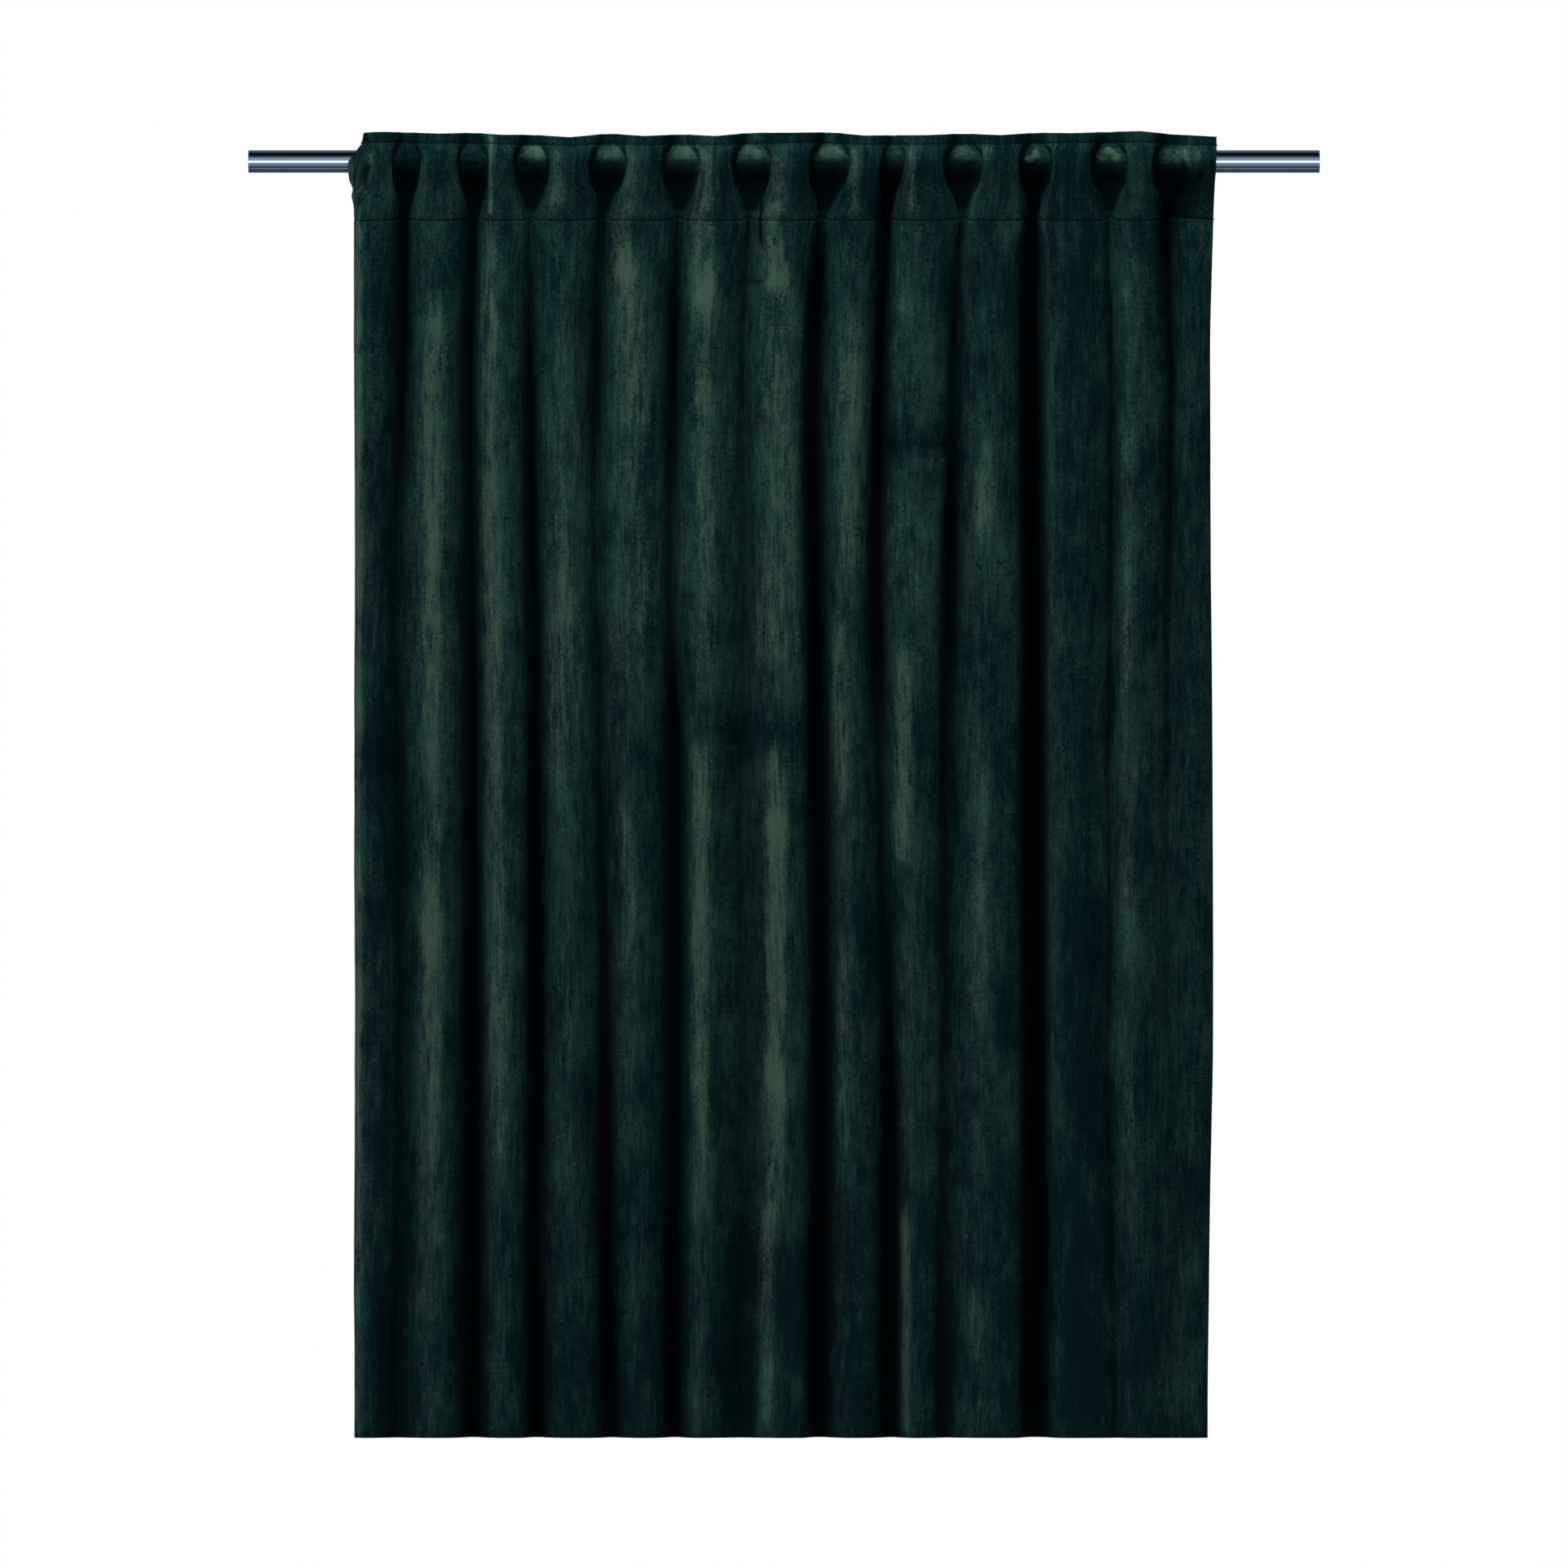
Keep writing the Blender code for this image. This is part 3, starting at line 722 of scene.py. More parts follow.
def foldCrest(index, z):
    if index:
        left = recessMiddle(index - 1, z) + recessGap(index - 1, z) / 2
    else:
        left = endPoints(leftEnd, z)[-1][0]
    right = recessMiddle(index, z) - recessGap(index, z) / 2
    lean = smoothValue(foldHeights, (0.0, folds[index].leanTop, folds[index].leanHem), z)
    return ((left + right) / 2 + lean * (right - left) / 2, foldFront(index, z))


# How finely the cloth is sampled: along a row by what the stretch of cloth is, and down the drop
gridSteps = {"edge": 3, "crest": 3, "shoulder": 2, "wall": 3, "corner": 2, "floor": 3}
rowRuns = ((33, 26, 3), (26, 17, 6), (17, -60, 22), (-60, -78, 12), (-78, -250, 20),
           (-250, -1508, 64), (-1508, hem, 6))


def shoulder(crest, rim, z):
    # a point between crest and rim, near the rim in the header, where the pleats turn sharply
    pleat, fold = valleyShape["shoulderHeader"], valleyShape["shoulderBody"]
    share = pleat if inHeader(z) else smoothValue((stitch, upper), (pleat, fold), z)
    lift = (crest[1] - rim[1]) * valleyShape["shoulderLift"]
    return (rim[0] + share * (crest[0] - rim[0]), rim[1] + share * (crest[1] - rim[1]) + lift)


# How deep in painted shade the pile lies at each point across a fold, from 0 on its crest to 1 in the valley
Hollow = namedtuple("Hollow", "crest leftShoulder leftRim leftWall rightShoulder rightRim rightWall floor")
bodyPaintedShade = Hollow(0.04, 0.02, 0.15, 0.65, 0.18, 0.38, 0.82, 1.0)
headerPaintedShade = Hollow(0.05, 0.0, 0.02, 0.5, 0.10, 0.16, 0.7, 1.0)
leftEndPaintedShade = (0.0, 0.0, 0.3, 0.15, 0.0)
rightEndPaintedShade = {"header": (0.92, 0.78, 0.6, 0.4, 0.25), "body": (0.35, 0.15, 0.1, 0.1, 0.1)}

# How that painted shade falls down the recesses and the left end, where it gives way to the folds' own, and
# how deep a valley has to be to have all of it
paintedShadeShape = {
    "fallHeights": (9, 3, -5, -13, -26, -60),
    "fall": (0.0, 0.34, 0.66, 0.78, 0.94, 0.97),
    "endHeights": (26, 8, -36, -62, -100),
    "end": (0.3, 1.0, 1.0, 0.4, 0.0),
    "bodyFrom": -170,
    "closedBelow": -56,
    "lighter": 0.12,
    "shallow": 5,
    "deep": 34,
    "least": 0.25,
}


def paintedShadeAt(name, z):
    # painted shade: none on the recess above the rod, which faces the light, and all of it below
    pleat, fold = getattr(headerPaintedShade, name), getattr(bodyPaintedShade, name)
    if not inHeader(z):
        return smoothValue((stitch, paintedShadeShape["bodyFrom"]), (pleat, fold), z)
    if name == "floor" or "Wall" in name:
        return pleat * straightValue(paintedShadeShape["fallHeights"], paintedShadeShape["fall"], z)
    return pleat


def valleyShade(index, z):
    # how much of that painted shade a valley has, by how deep it is
    shape = paintedShadeShape
    depth = smoothValue(bodyHeights, (recesses[index].depth, *valleys[index].depth), z)
    share = (depth - shape["shallow"]) / (shape["deep"] - shape["shallow"])
    share = max(shape["least"], min(1.0, share))
    if inHeader(z):
        inRecess = 1.0 - shape["lighter"] * (1.0 - share)
        return straightValue((shape["closedBelow"], stitch), (inRecess, share), z)
    return share


# The points of a valley's two sides, from left to right: the part of the side, the stretch of cloth
# that leads to it, its share of the sag, and the painted shade it takes
SidePoint = namedtuple("SidePoint", "part stretch sag hollow")
leftSide = [
    SidePoint("shoulder", "crest", "rimSag", "rightShoulder"),
    SidePoint("rim", "shoulder", "rimSag", "rightRim"),
    SidePoint("wall", "wall", "wallSag", "rightWall"),
    SidePoint("corner", "corner", "cornerSag", "floor"),
]
rightSide = [
    SidePoint("corner", "floor", "cornerSag", "floor"),
    SidePoint("wall", "corner", "wallSag", "leftWall"),
    SidePoint("rim", "wall", "rimSag", "leftRim"),
    SidePoint("shoulder", "shoulder", "rimSag", "leftShoulder"),
]


def sidePoints(index, z, sign, shade):
    # one side of a valley; a tightly turned rim at a fold's right takes less painted shade below the header
    places = dict(zip(("rim", "wall", "corner"), valleySide(index, z, sign)))
    crest = foldCrest(index if sign < 0 else index + 1, z)
    places["shoulder"] = shoulder(crest, places["rim"], z)
    turned = 1.0 if sign > 0 or inHeader(z) else rimRoundness(index, "rollLeft")
    points = []
    for p in leftSide if sign < 0 else rightSide:
        share = turned if p.sag == "rimSag" else 1.0
        depth = shade * share * paintedShadeAt(p.hollow, z)
        points.append((*places[p.part], valleyShape[p.sag], depth, p.stretch))
    return points


def guidePoints(z):
    # the plan of the cloth at one height: x, y, its share of the sag, how deep it lies in painted shade,
    # and what stretch leads to it
    edge = endPoints(leftEnd, z)
    shaded = straightValue(paintedShadeShape["endHeights"], paintedShadeShape["end"], z)
    points = [(x, y, n / (len(edge) - 1), leftEndPaintedShade[n] * shaded, "edge")
              for n, (x, y) in enumerate(edge)]
    for index in range(len(folds)):
        shade = valleyShade(index, z)
        middle = (recessMiddle(index, z), recessFloor(index, z))
        points.append((*foldCrest(index, z), 1.0, paintedShadeAt("crest", z), "crest"))
        points += sidePoints(index, z, -1, shade)
        points.append((*middle, 0.0, shade * paintedShadeAt("floor", z), "floor"))
        if index + 1 < len(folds):
            points += sidePoints(index, z, 1, shade)
    for n, (x, y) in enumerate(endPoints(rightEnd, z)):
        sag = valleyShape["edgeSag"] * n
        points.append((x, y, sag, rightEndShade(n, z), "edge" if n else "floor"))
    return points


def rightEndShade(n, z):
    if inHeader(z):
        return rightEndPaintedShade["header"][n] * paintedShadeAt("floor", z)
    return rightEndPaintedShade["body"][n]


def splineWeights(kinds):
    # how much of each guide point every column takes, as a cubic B-spline through its knots
    rows = []
    count = len(kinds)
    last = count - 2
    for span in range(count - 1):
        steps = gridSteps[kinds[span + 1]]
        places = [step / steps for step in range(steps)]
        if span == 0:
            places.insert(1, cloth["edgeColumn"])
        if span == last:
            places += [1 - cloth["edgeColumn"], 1.0]
        for t in places:
            basis = ((1 - t)**3, 3 * t**3 - 6 * t**2 + 4, -3 * t**3 + 3 * t**2 + 3 * t + 1, t**3)
            row = np.zeros(count + 2)
            row[span:span + 4] = np.array(basis) / 6
            rows.append(row)
    weights = np.array(rows)
    inner = weights[:, 1:-1].copy()
    inner[:, 0] += 2 * weights[:, 0]
    inner[:, 1] -= weights[:, 0]
    inner[:, -1] += 2 * weights[:, -1]
    inner[:, -2] -= weights[:, -1]
    return inner


def panelRows():
    top = header[0].z
    rows = [top, top - cloth["edgeTurn"]]
    for start, end, count in rowRuns:
        rows += list(np.linspace(start, end, count + 1)[1:])
    return rows[:-1] + [hem + cloth["edgeTurn"], hem]


def topEdgeMarks():
    marks = [leftTop, (foldCrest(0, seam)[0], folds[0].top)]
    for index, recess in enumerate(recesses):
        marks.append((recess.rod, recess.top))
        if index + 1 < len(folds):
            marks.append((foldCrest(index + 1, seam)[0], folds[index + 1].top))
    return marks + [rightTop]


def clothHeights(z, x, weight, marks):
    # the header's rows follow its uneven top edge, and its lower rows sag between the tabs
    sag = valleyShape["stitchSag"] * weight
    bottom, gone = header[-1].z, valleyShape["sagGone"]
    if z > 0:
        edge = np.interp(x, [m[0] for m in marks], [m[1] for m in marks])
        return z + (edge + cloth["topLift"] - header[0].z) * z / header[0].z
    if inHeader(z):
        return z - sag * z / bottom
    if z > gone:
        return z - sag * (z - gone) / (bottom - gone)
    return np.full_like(x, z)


# How the hanging folds wander: sideways and in depth, and over what height and width
wander = {
    "from": -120,
    "full": -320,
    "side": 0.9,
    "depth": 2.0,
    "height": 240.0,
    "width": 150.0,
    "edge": 60.0,
    "depthSeed": 7.3,
}


def wandering(x, z):
    share = min(1.0, max(0.0, (wander["from"] - z) / (wander["from"] - wander["full"])))
    nearEdge = min(1.0, max(0.0, min(x - leftTop[0], rightTop[0] - x) / wander["edge"]))
    spot = Vector((x / wander["width"], z / wander["height"], 0))
    side = noise.noise(spot) * wander["side"] * 2
    depth = noise.noise(spot + Vector((0, 0, wander["depthSeed"]))) * wander["depth"] * 2
    return share * nearEdge * side, share * nearEdge * depth


# Soft creases and ridges: from and to, half width, and depth (a ridge is below zero)
Crease = namedtuple("Crease", "x0 z0 x1 z1 half depth")
creases = [
    Crease(-16, 20, -22, -25, 3.5, 2.2),
    Crease(-22, -25, -28, -62, 3.5, 2.6),
    Crease(-28, -62, -29, -98, 3.5, 2.4),
    Crease(-29, -98, -17, -128, 4.0, 1.6),
    Crease(276, -14, 275, -54, 3.0, 1.4),
    Crease(362, 18, 362, -70, 4.0, -1.8),
    Crease(362, -70, 364, -135, 4.5, -1.6),
    Crease(344, -80, 336, -130, 6.0, -1.6),
    Crease(-100, -238, -86, -229, 4.5, 2.4),
    Crease(9, -264, 22, -264, 4.0, 1.2),
    Crease(3, -286, 16, -284, 4.0, 1.2),
    Crease(-432, -117, -418, -117, 4.5, 1.6),
    Crease(-46, -146, -34, -150, 5.0, 2.0),
    Crease(132, -352, 196, -346, 7.0, 3.2),
    Crease(150, -372, 200, -366, 6.0, -1.6),
    Crease(-30, -820, -22, -1080, 3.0, 1.2),
    Crease(246, -1046, 256, -1072, 5.0, 2.0),
    Crease(-432, -1290, -410, -1312, 7.0, 2.0),
    Crease(-190, -1470, -172, -1490, 6.0, 2.0),
    Crease(-88, -1480, -66, -1500, 6.0, 2.0),
    Crease(-526, -752, -482, -748, 12.0, 2.4),
    Crease(-104, -700, -60, -706, 12.0, 1.0),
    Crease(-30, -712, 30, -706, 14.0, 1.0),
    Crease(-268, -900, -252, -960, 8.0, 1.4),
    Crease(-513, -8, -515, -32, 4.0, 3.4),
    Crease(-515, -32, -520, -54, 3.0, 1.6),
    Crease(294, 3, 303, 1, 2.8, -2.6),
    Crease(303, 1, 310, 8, 2.8, -2.6),
    Crease(310, 8, 312, 17, 2.8, -2.2),
    Crease(301, 9, 304, 17, 2.6, 2.4),
    Crease(391, 2, 401, 13, 2.8, -2.4),
    Crease(401, 13, 411, 3, 2.8, -2.4),
    Crease(401, 2, 401, 8, 2.8, 2.0),
    Crease(493, 14, 503, -19, 2.4, -2.0),
    Crease(488, 8, 497, -14, 3.0, 2.0),
    Crease(511, 10, 508, -12, 2.4, -1.6),
    Crease(518, 8, 514, -24, 3.0, 1.6),
    Crease(500, 32, 500, 21, 2.6, -2.0),
    Crease(331, -72, 332, -150, 4.0, 2.2),
]

# Broad dents and swellings of the hanging cloth, finest last: size across, size down and height
unevenness = ((46, 210, 1.7), (19, 120, 0.75), (9, 40, 0.28))
unevenShape = {"seedStep": 11.7, "least": 0.15, "from": -60, "over": 160}

# Where the pile is brushed up (light) or down (dark), with painted highlights on the lit sides of folds and
# pleats and painted shade on their far sides: its middle at the top and bottom of the stretch,
# the heights, half its width, how strong it is, and the length over which its ends fade
Patch = namedtuple("Patch", "name xTop xBottom top bottom half strength fade")
patches = [
    Patch("leftEdge", -525, -525, -60, hem, 7, 1.0, 60),
    Patch("leftEdgeDim", -505, -505, -700, -850, 22, -0.5, 60),
    Patch("fold1Dim", -498, -496, -66, hem, 15, -0.4, 60),
    Patch("fold2", -432, -433, -170, -980, 15, 0.85, 90),
    Patch("fold2Low", -433, -434, -960, -1400, 16, 0.75, 160),
    Patch("fold2Hem", -433, -434, -1380, hem, 16, 0.35, 80),
    Patch("fold3", -362, -352, -80, -1260, 15, 0.7, 90),
    Patch("fold3Hem", -354, -352, -1280, hem, 13, 0.25, 90),
    Patch("fold4", -270, -270, -90, -760, 26, 0.4, 160),
    Patch("fold4Low", -272, -272, -900, -1300, 12, 0.3, 160),
    Patch("fold5Top", -188, -185, -120, -330, 26, 0.7, 90),
    Patch("fold5Middle", -184, -186, -350, -640, 28, 0.5, 90),
    Patch("fold5Low", -190, -190, -790, -1010, 12, 0.6, 70),
    Patch("fold6Top", -97, -97, -150, -640, 16, 0.65, 70),
    Patch("fold6Low", -102, -103, -700, -1310, 12, 0.85, 60),
    Patch("fold7", 0, -4, -130, -650, 30, 0.65, 110),
    Patch("fold7Middle", -8, -8, -715, -830, 15, 0.8, 40),
    Patch("fold7Soft", -8, -12, -810, -1150, 14, 0.9, 60),
    Patch("fold7Hem", -20, -21, -1300, hem, 12, 1.2, 70),
    Patch("fold7Low", -11, -13, -1120, -1310, 16, 0.85, 60),
    Patch("fold7Dark", 6, 6, -1330, -1460, 34, -0.5, 70),
    Patch("band67Dark", -45, -45, -680, -715, 70, -0.35, 40),
    Patch("fold8Top", 84, 84, -180, -520, 20, 0.75, 80),
    Patch("fold8Low", 70, 70, -560, -800, 12, 0.7, 60),
    Patch("fold9Top", 152, 155, -160, -320, 24, 0.4, 80),
    Patch("fold9Dark", 165, 165, -325, -385, 44, -0.6, 30),
    Patch("fold9Middle", 149, 150, -400, -560, 26, 0.35, 60),
    Patch("fold9Bright", 147, 149, -600, -872, 13, 0.8, 24),
    Patch("fold9Low", 147, 148, -980, -1300, 11, 0.4, 120),
    Patch("fold9Hem", 149, 149, -1290, hem, 8, 1.2, 60),
    Patch("fold10Top", 249, 247, -330, -470, 13, 0.7, 60),
    Patch("fold10Middle", 243, 243, -740, -892, 15, 0.45, 50),
    Patch("fold10Soft", 241, 241, -880, -1060, 16, 0.4, 40),
    Patch("fold10Low", 240, 240, -1390, hem, 18, 0.7, 60),
    Patch("fold11Dim", 366, 364, -160, hem, 26, -0.4, 140),
    Patch("fold11Edge", 327, 330, -100, -1300, 5, 0.35, 90),
    Patch("fold11Dark", 362, 362, -60, -170, 26, -0.5, 60),
    Patch("fold12", 424, 424, -90, -1250, 12, 0.4, 90),
    Patch("fold12Dim", 446, 446, -300, hem, 14, -0.25, 90),
    Patch("rightDim", 500, 500, -90, -1250, 26, -0.25, 160),
    Patch("rightHem", 500, 500, -1300, hem, 30, 0.3, 160),
    Patch("fold11Low", 376, 374, -950, hem, 26, -0.65, 160),
    Patch("fold8Hem", 74, 74, -960, -1250, 11, 0.55, 80),
    Patch("fold9HemDim", 180, 180, -1290, hem, 15, -0.5, 80),
    Patch("fold9LowDim", 178, 178, -700, -1000, 17, -0.5, 80),
    Patch("fold10LowDim", 272, 272, -740, -1100, 15, -0.45, 80),
    Patch("fold8Dim", 100, 100, -700, -1280, 12, -0.4, 80),
    Patch("fold5LowDim", -166, -166, -760, -960, 12, -0.45, 60),
    Patch("fold4Middle", -276, -276, -420, -860, 14, 0.25, 100),
    Patch("fold2Dim", -433, -433, -740, -880, 16, -0.35, 60),
    Patch("fold11Crease", 331, 332, -66, -190, 6, -0.7, 30),
    Patch("fold8HemDim", 92, 92, -1300, hem, 15, -0.4, 60),
    Patch("fold6HemDim", -60, -60, -1300, hem, 24, -0.35, 80),
    Patch("fold6Hem", -108, -108, -1330, hem, 9, 0.45, 60),
    Patch("fold1Top", -500, -494, -66, -240, 13, -0.2, 40),
    Patch("fold3Top", -362, -360, -60, -190, 5, 0.2, 30),
    Patch("fold3TopDim", -341, -341, -66, -190, 12, -0.4, 40),
    Patch("fold4TopDim", -248, -246, -66, -200, 14, -0.35, 40),
    Patch("fold5Up", -198, -196, -60, -150, 15, 0.75, 40),
    Patch("fold5UpDim", -151, -150, -66, -190, 14, -0.45, 40),
    Patch("fold6Up", -100, -99, -60, -180, 17, 0.9, 40),
    Patch("fold6UpDim", -68, -66, -66, -190, 14, -0.5, 40),
    Patch("fold7Up", -11, -9, -60, -160, 15, 0.8, 40),
    Patch("fold7UpDim", 24, 26, -66, -190, 13, -0.5, 40),
    Patch("fold9Up", 144, 146, -60, -180, 9, 0.3, 40),
    Patch("fold9UpDim", 200, 200, -66, -200, 14, -0.4, 40),
    Patch("fold10Up", 262, 262, -66, -260, 28, -0.35, 60),
    Patch("fold12Up", 456, 456, -66, -240, 14, -0.35, 60),
    Patch("endFold", -519, -525, 16, -56, 6, -0.3, 10),
    Patch("pleat1Edge", -506, -517, 12, -62, 2.8, 0.55, 12),
    Patch("pleat1Dim", -494, -496, 14, -66, 9, -0.35, 20),
    Patch("endGleam", -511, -512, 20, -4, 6, 0.6, 8),
    Patch("endStrip", -522, -530, 20, -60, 5, 0.35, 10),
    Patch("band", 0, 0, 38, 23, 2000, -0.4, 3),
    Patch("endEdge", -533, -534, 8, -60, 3.5, 0.7, 12),
    Patch("pleat1", -500, -490, 22, -66, 9, 0.1, 20),
    Patch("pleat2Dim", -425, -425, 20, -66, 14, -0.4, 20),
    Patch("pleat3Edge", -360, -361, 30, -66, 4, 1.0, 10),
    Patch("pleat3Dim", -344, -342, 16, -66, 9, -0.5, 20),
    Patch("pleat4", -277, -280, 16, -60, 9, 0.7, 30),
    Patch("pleat4Dim", -250, -247, 16, -66, 10, -0.6, 30),
    Patch("pleat5", -183, -190, 18, -66, 10, 0.75, 30),
    Patch("pleat5Dim", -163, -158, 18, -66, 8, -0.5, 30),
    Patch("pleat6", -94, -96, 16, -60, 12, 0.9, 30),
    Patch("pleat6Dim", -72, -69, 16, -66, 9, -0.6, 30),
    Patch("pleat7", -6, -10, 14, -66, 13, 0.75, 30),
    Patch("pleat7Dim", 22, 24, 14, -66, 11, -0.65, 30),
    Patch("pleat8", 90, 84, 16, -66, 7, 1.0, 20),
    Patch("pleat8Dim", 108, 106, 16, -66, 10, -0.7, 20),
    Patch("pleat9", 158, 156, 18, -66, 7, 0.65, 20),
    Patch("pleat12", 434, 434, 18, -66, 6, 0.5, 20),
    Patch("pleat2", -441, -446, 12, -66, 4, 0.4, 20),
    Patch("pleat9Dim", 182, 182, 16, -66, 12, -0.3, 20),
    Patch("pleat10", 252, 250, 20, 0, 8, 0.8, 20),
    Patch("pleat10Dim", 272, 274, 20, -66, 10, -0.5, 20),
    Patch("pleat11Dim", 355, 355, 18, -66, 22, -0.5, 20),
    Patch("pleat12Dim", 442, 444, 18, -66, 12, -0.4, 20),
    Patch("recessADim", -465, -465, 20, -4, 20, -0.7, 6),
    Patch("recessBDim", -394, -394, 20, -4, 10, -0.3, 6),
    Patch("recessJ", 318, 316, 17, -2, 9, 0.5, 8),
    Patch("recessK", 404, 404, 17, -2, 16, 0.75, 6),
    Patch("recessL", 482, 486, 18, -6, 24, 0.8, 10),
]

# Painted highlights along the top edge and on the recesses over the rod: the middle, half the width and the
# strength
edgeLights = [
    (-94, 12, 0.8), (-33, 7, 0.8), (56, 7, 0.8), (200, 28, 0.5), (331, 11, 0.45), (386, 4, 0.6),
    (438, 13, 0.6), (-362, 4, 0.9), (-290, 18, 0.4), (-510, 7, 0.7), (-184, 5, 0.6),
]
recessLights = [
    (-309, 17, 0.9), (-214, 18, 0.9), (-124, 19, 0.95), (-37, 19, 0.95), (60, 19, 0.95), (223, 19, 0.9),
]
patches += [Patch("edgeLight", x, x, 38, 23, half, strength, 3) for x, half, strength in edgeLights]
patches += [Patch("recessLight", x, x, 19, 2, half, strength, 5) for x, half, strength in recessLights]


# How much painted shade a crease holds and how much painted highlight a ridge takes, for each millimetre of
# its height, and how far the cloth has to face the front to take one
creaseLook = {"shade": 0.13, "gleam": 0.35, "facingFrom": 0.1, "facingOver": 0.5}


def fadeBetween(value, low, high, fade):
    inner = np.clip((value - (low - fade / 2)) / fade, 0, 1) * np.clip((high + fade / 2 - value) / fade, 0, 1)
    return inner * inner * (3 - 2 * inner)


def surfaceNormals(grid):
    down = np.gradient(grid, axis=0)
    across = np.gradient(grid, axis=1)
    normal = np.cross(down, across)
    return normal / np.maximum(np.linalg.norm(normal, axis=2, keepdims=True), 1e-9)


def creaseHeights(grid):
    x, z = grid[..., 0], grid[..., 2]
    total = np.zeros(x.shape)
    for c in creases:
        run = np.array((c.x1 - c.x0, c.z1 - c.z0), float)
        length = max(1e-6, float(np.hypot(*run)))
        along = ((x - c.x0) * run[0] + (z - c.z0) * run[1]) / length**2
        t = np.clip(along, 0, 1)
        away = np.hypot(x - c.x0 - t * run[0], z - c.z0 - t * run[1])
        total -= c.depth * np.exp(-(away / c.half)**2)
    return total


def unevenHeights(grid):
    rows, columns = grid.shape[:2]
    total = np.zeros((rows, columns))
    u = unevenShape
    for number, (wide, tall, height) in enumerate(unevenness):
        for r in range(rows):
            share = min(1.0, max(u["least"], (u["from"] - grid[r, 0, 2]) / u["over"]))
            for c in range(columns):
                x, _, z = grid[r, c]
                spot = Vector((x / wide, z / tall, u["seedStep"] * number))
                total[r, c] += share * height * noise.noise(spot)
    return total


def grooveHeights(rows, columns):
    # the two sewn lines of the header pull the cloth in, and it swells out below each
    line = headerStitch
    total = np.zeros((len(rows), columns))
    for level in (line["top"], line["bottom"]):
        total -= (line["depth"] * np.exp(-((rows - level) / line["half"])**2))[:, None]
        below = level - line["swellBelow"]
        total += (line["swell"] * np.exp(-((rows - below) / line["swellHalf"])**2))[:, None]
    return total


headerStitch = {
    "top": 21.5,
    "bottom": -68.0,
    "depth": 0.7,
    "half": 1.7,
    "swell": 0.25,
    "swellBelow": 4.0,
    "swellHalf": 2.2,
    "shade": 0.5,
    "shadeHalf": 1.3,
}


def seamShade(z):
    # painted shade in the grooves along both sewn lines
    line = headerStitch
    away = min(abs(z - line["top"]), abs(z - line["bottom"]))
    return line["shade"] * math.exp(-(away / line["shadeHalf"])**2)


# Painted shade darkens the pile towards the hem, where less light reaches; the pile is also made a little
# darker on the header
dimming = {"from": -1100, "full": -1440, "strength": 0.44, "headerFrom": -330, "headerStrength": 0.13}


# How firm the sides of a brushed or painted patch are, and how little of the darkening counts past a limit
patchEdge = 3
darkest = {"from": -0.75, "share": 0.35}


def brushAndPaintedLightValues(grid):
    x, z = grid[..., 0], grid[..., 2]
    total = np.zeros(x.shape)
    for p in patches:
        along = np.clip((p.top - z) / (p.top - p.bottom), 0, 1)
        middle = p.xTop + along * (p.xBottom - p.xTop)
        across = np.exp(-np.abs((x - middle) / p.half)**patchEdge)
        total += p.strength * across * fadeBetween(z, p.bottom, p.top, p.fade)
    low = np.clip((dimming["from"] - z) / (dimming["from"] - dimming["full"]), 0, 1)
    high = np.clip((z - dimming["headerFrom"]) / (stitch - dimming["headerFrom"]), 0, 1)
    total = total - dimming["strength"] * low - dimming["headerStrength"] * high
    past = np.minimum(0.0, total - darkest["from"])
    return total - (1 - darkest["share"]) * past


def makePanelGrid():
    rows = panelRows()
    marks = topEdgeMarks()
    weights = None
    lines, shades = [], []
    for z in rows:
        guides = guidePoints(z)
        if weights is None:
            weights = splineWeights([g[4] for g in guides])
        points = []
        for x, y, share, shade, _ in guides:
            side, depth = wandering(x, z)
            points.append((x + side, y + depth, share, shade))
        line = weights @ np.array(points)
        height = clothHeights(z, line[:, 0], line[:, 2], marks)
        lines.append(np.column_stack((line[:, 0], line[:, 1], height)))
        shades.append(np.minimum(1.0, line[:, 3] + seamShade(z)))
    return np.array(rows), np.array(lines), np.array(shades)


def thicknesses(rows, places, width):
    # the turned hems are thicker than the single cloth between them
    count = (len(rows), places.shape[1])
    thick = np.full(count, cloth["single"])
    hems = np.zeros(count, bool)
    hems |= (rows >= cloth["headerBottom"])[:, None]
    hems |= (rows <= cloth["bottomHemTop"])[:, None]
    hems |= places < cloth["sideHem"]
    hems |= places > width - cloth["sideHem"]
    thick[hems] = cloth["hem"]
    return thick, hems


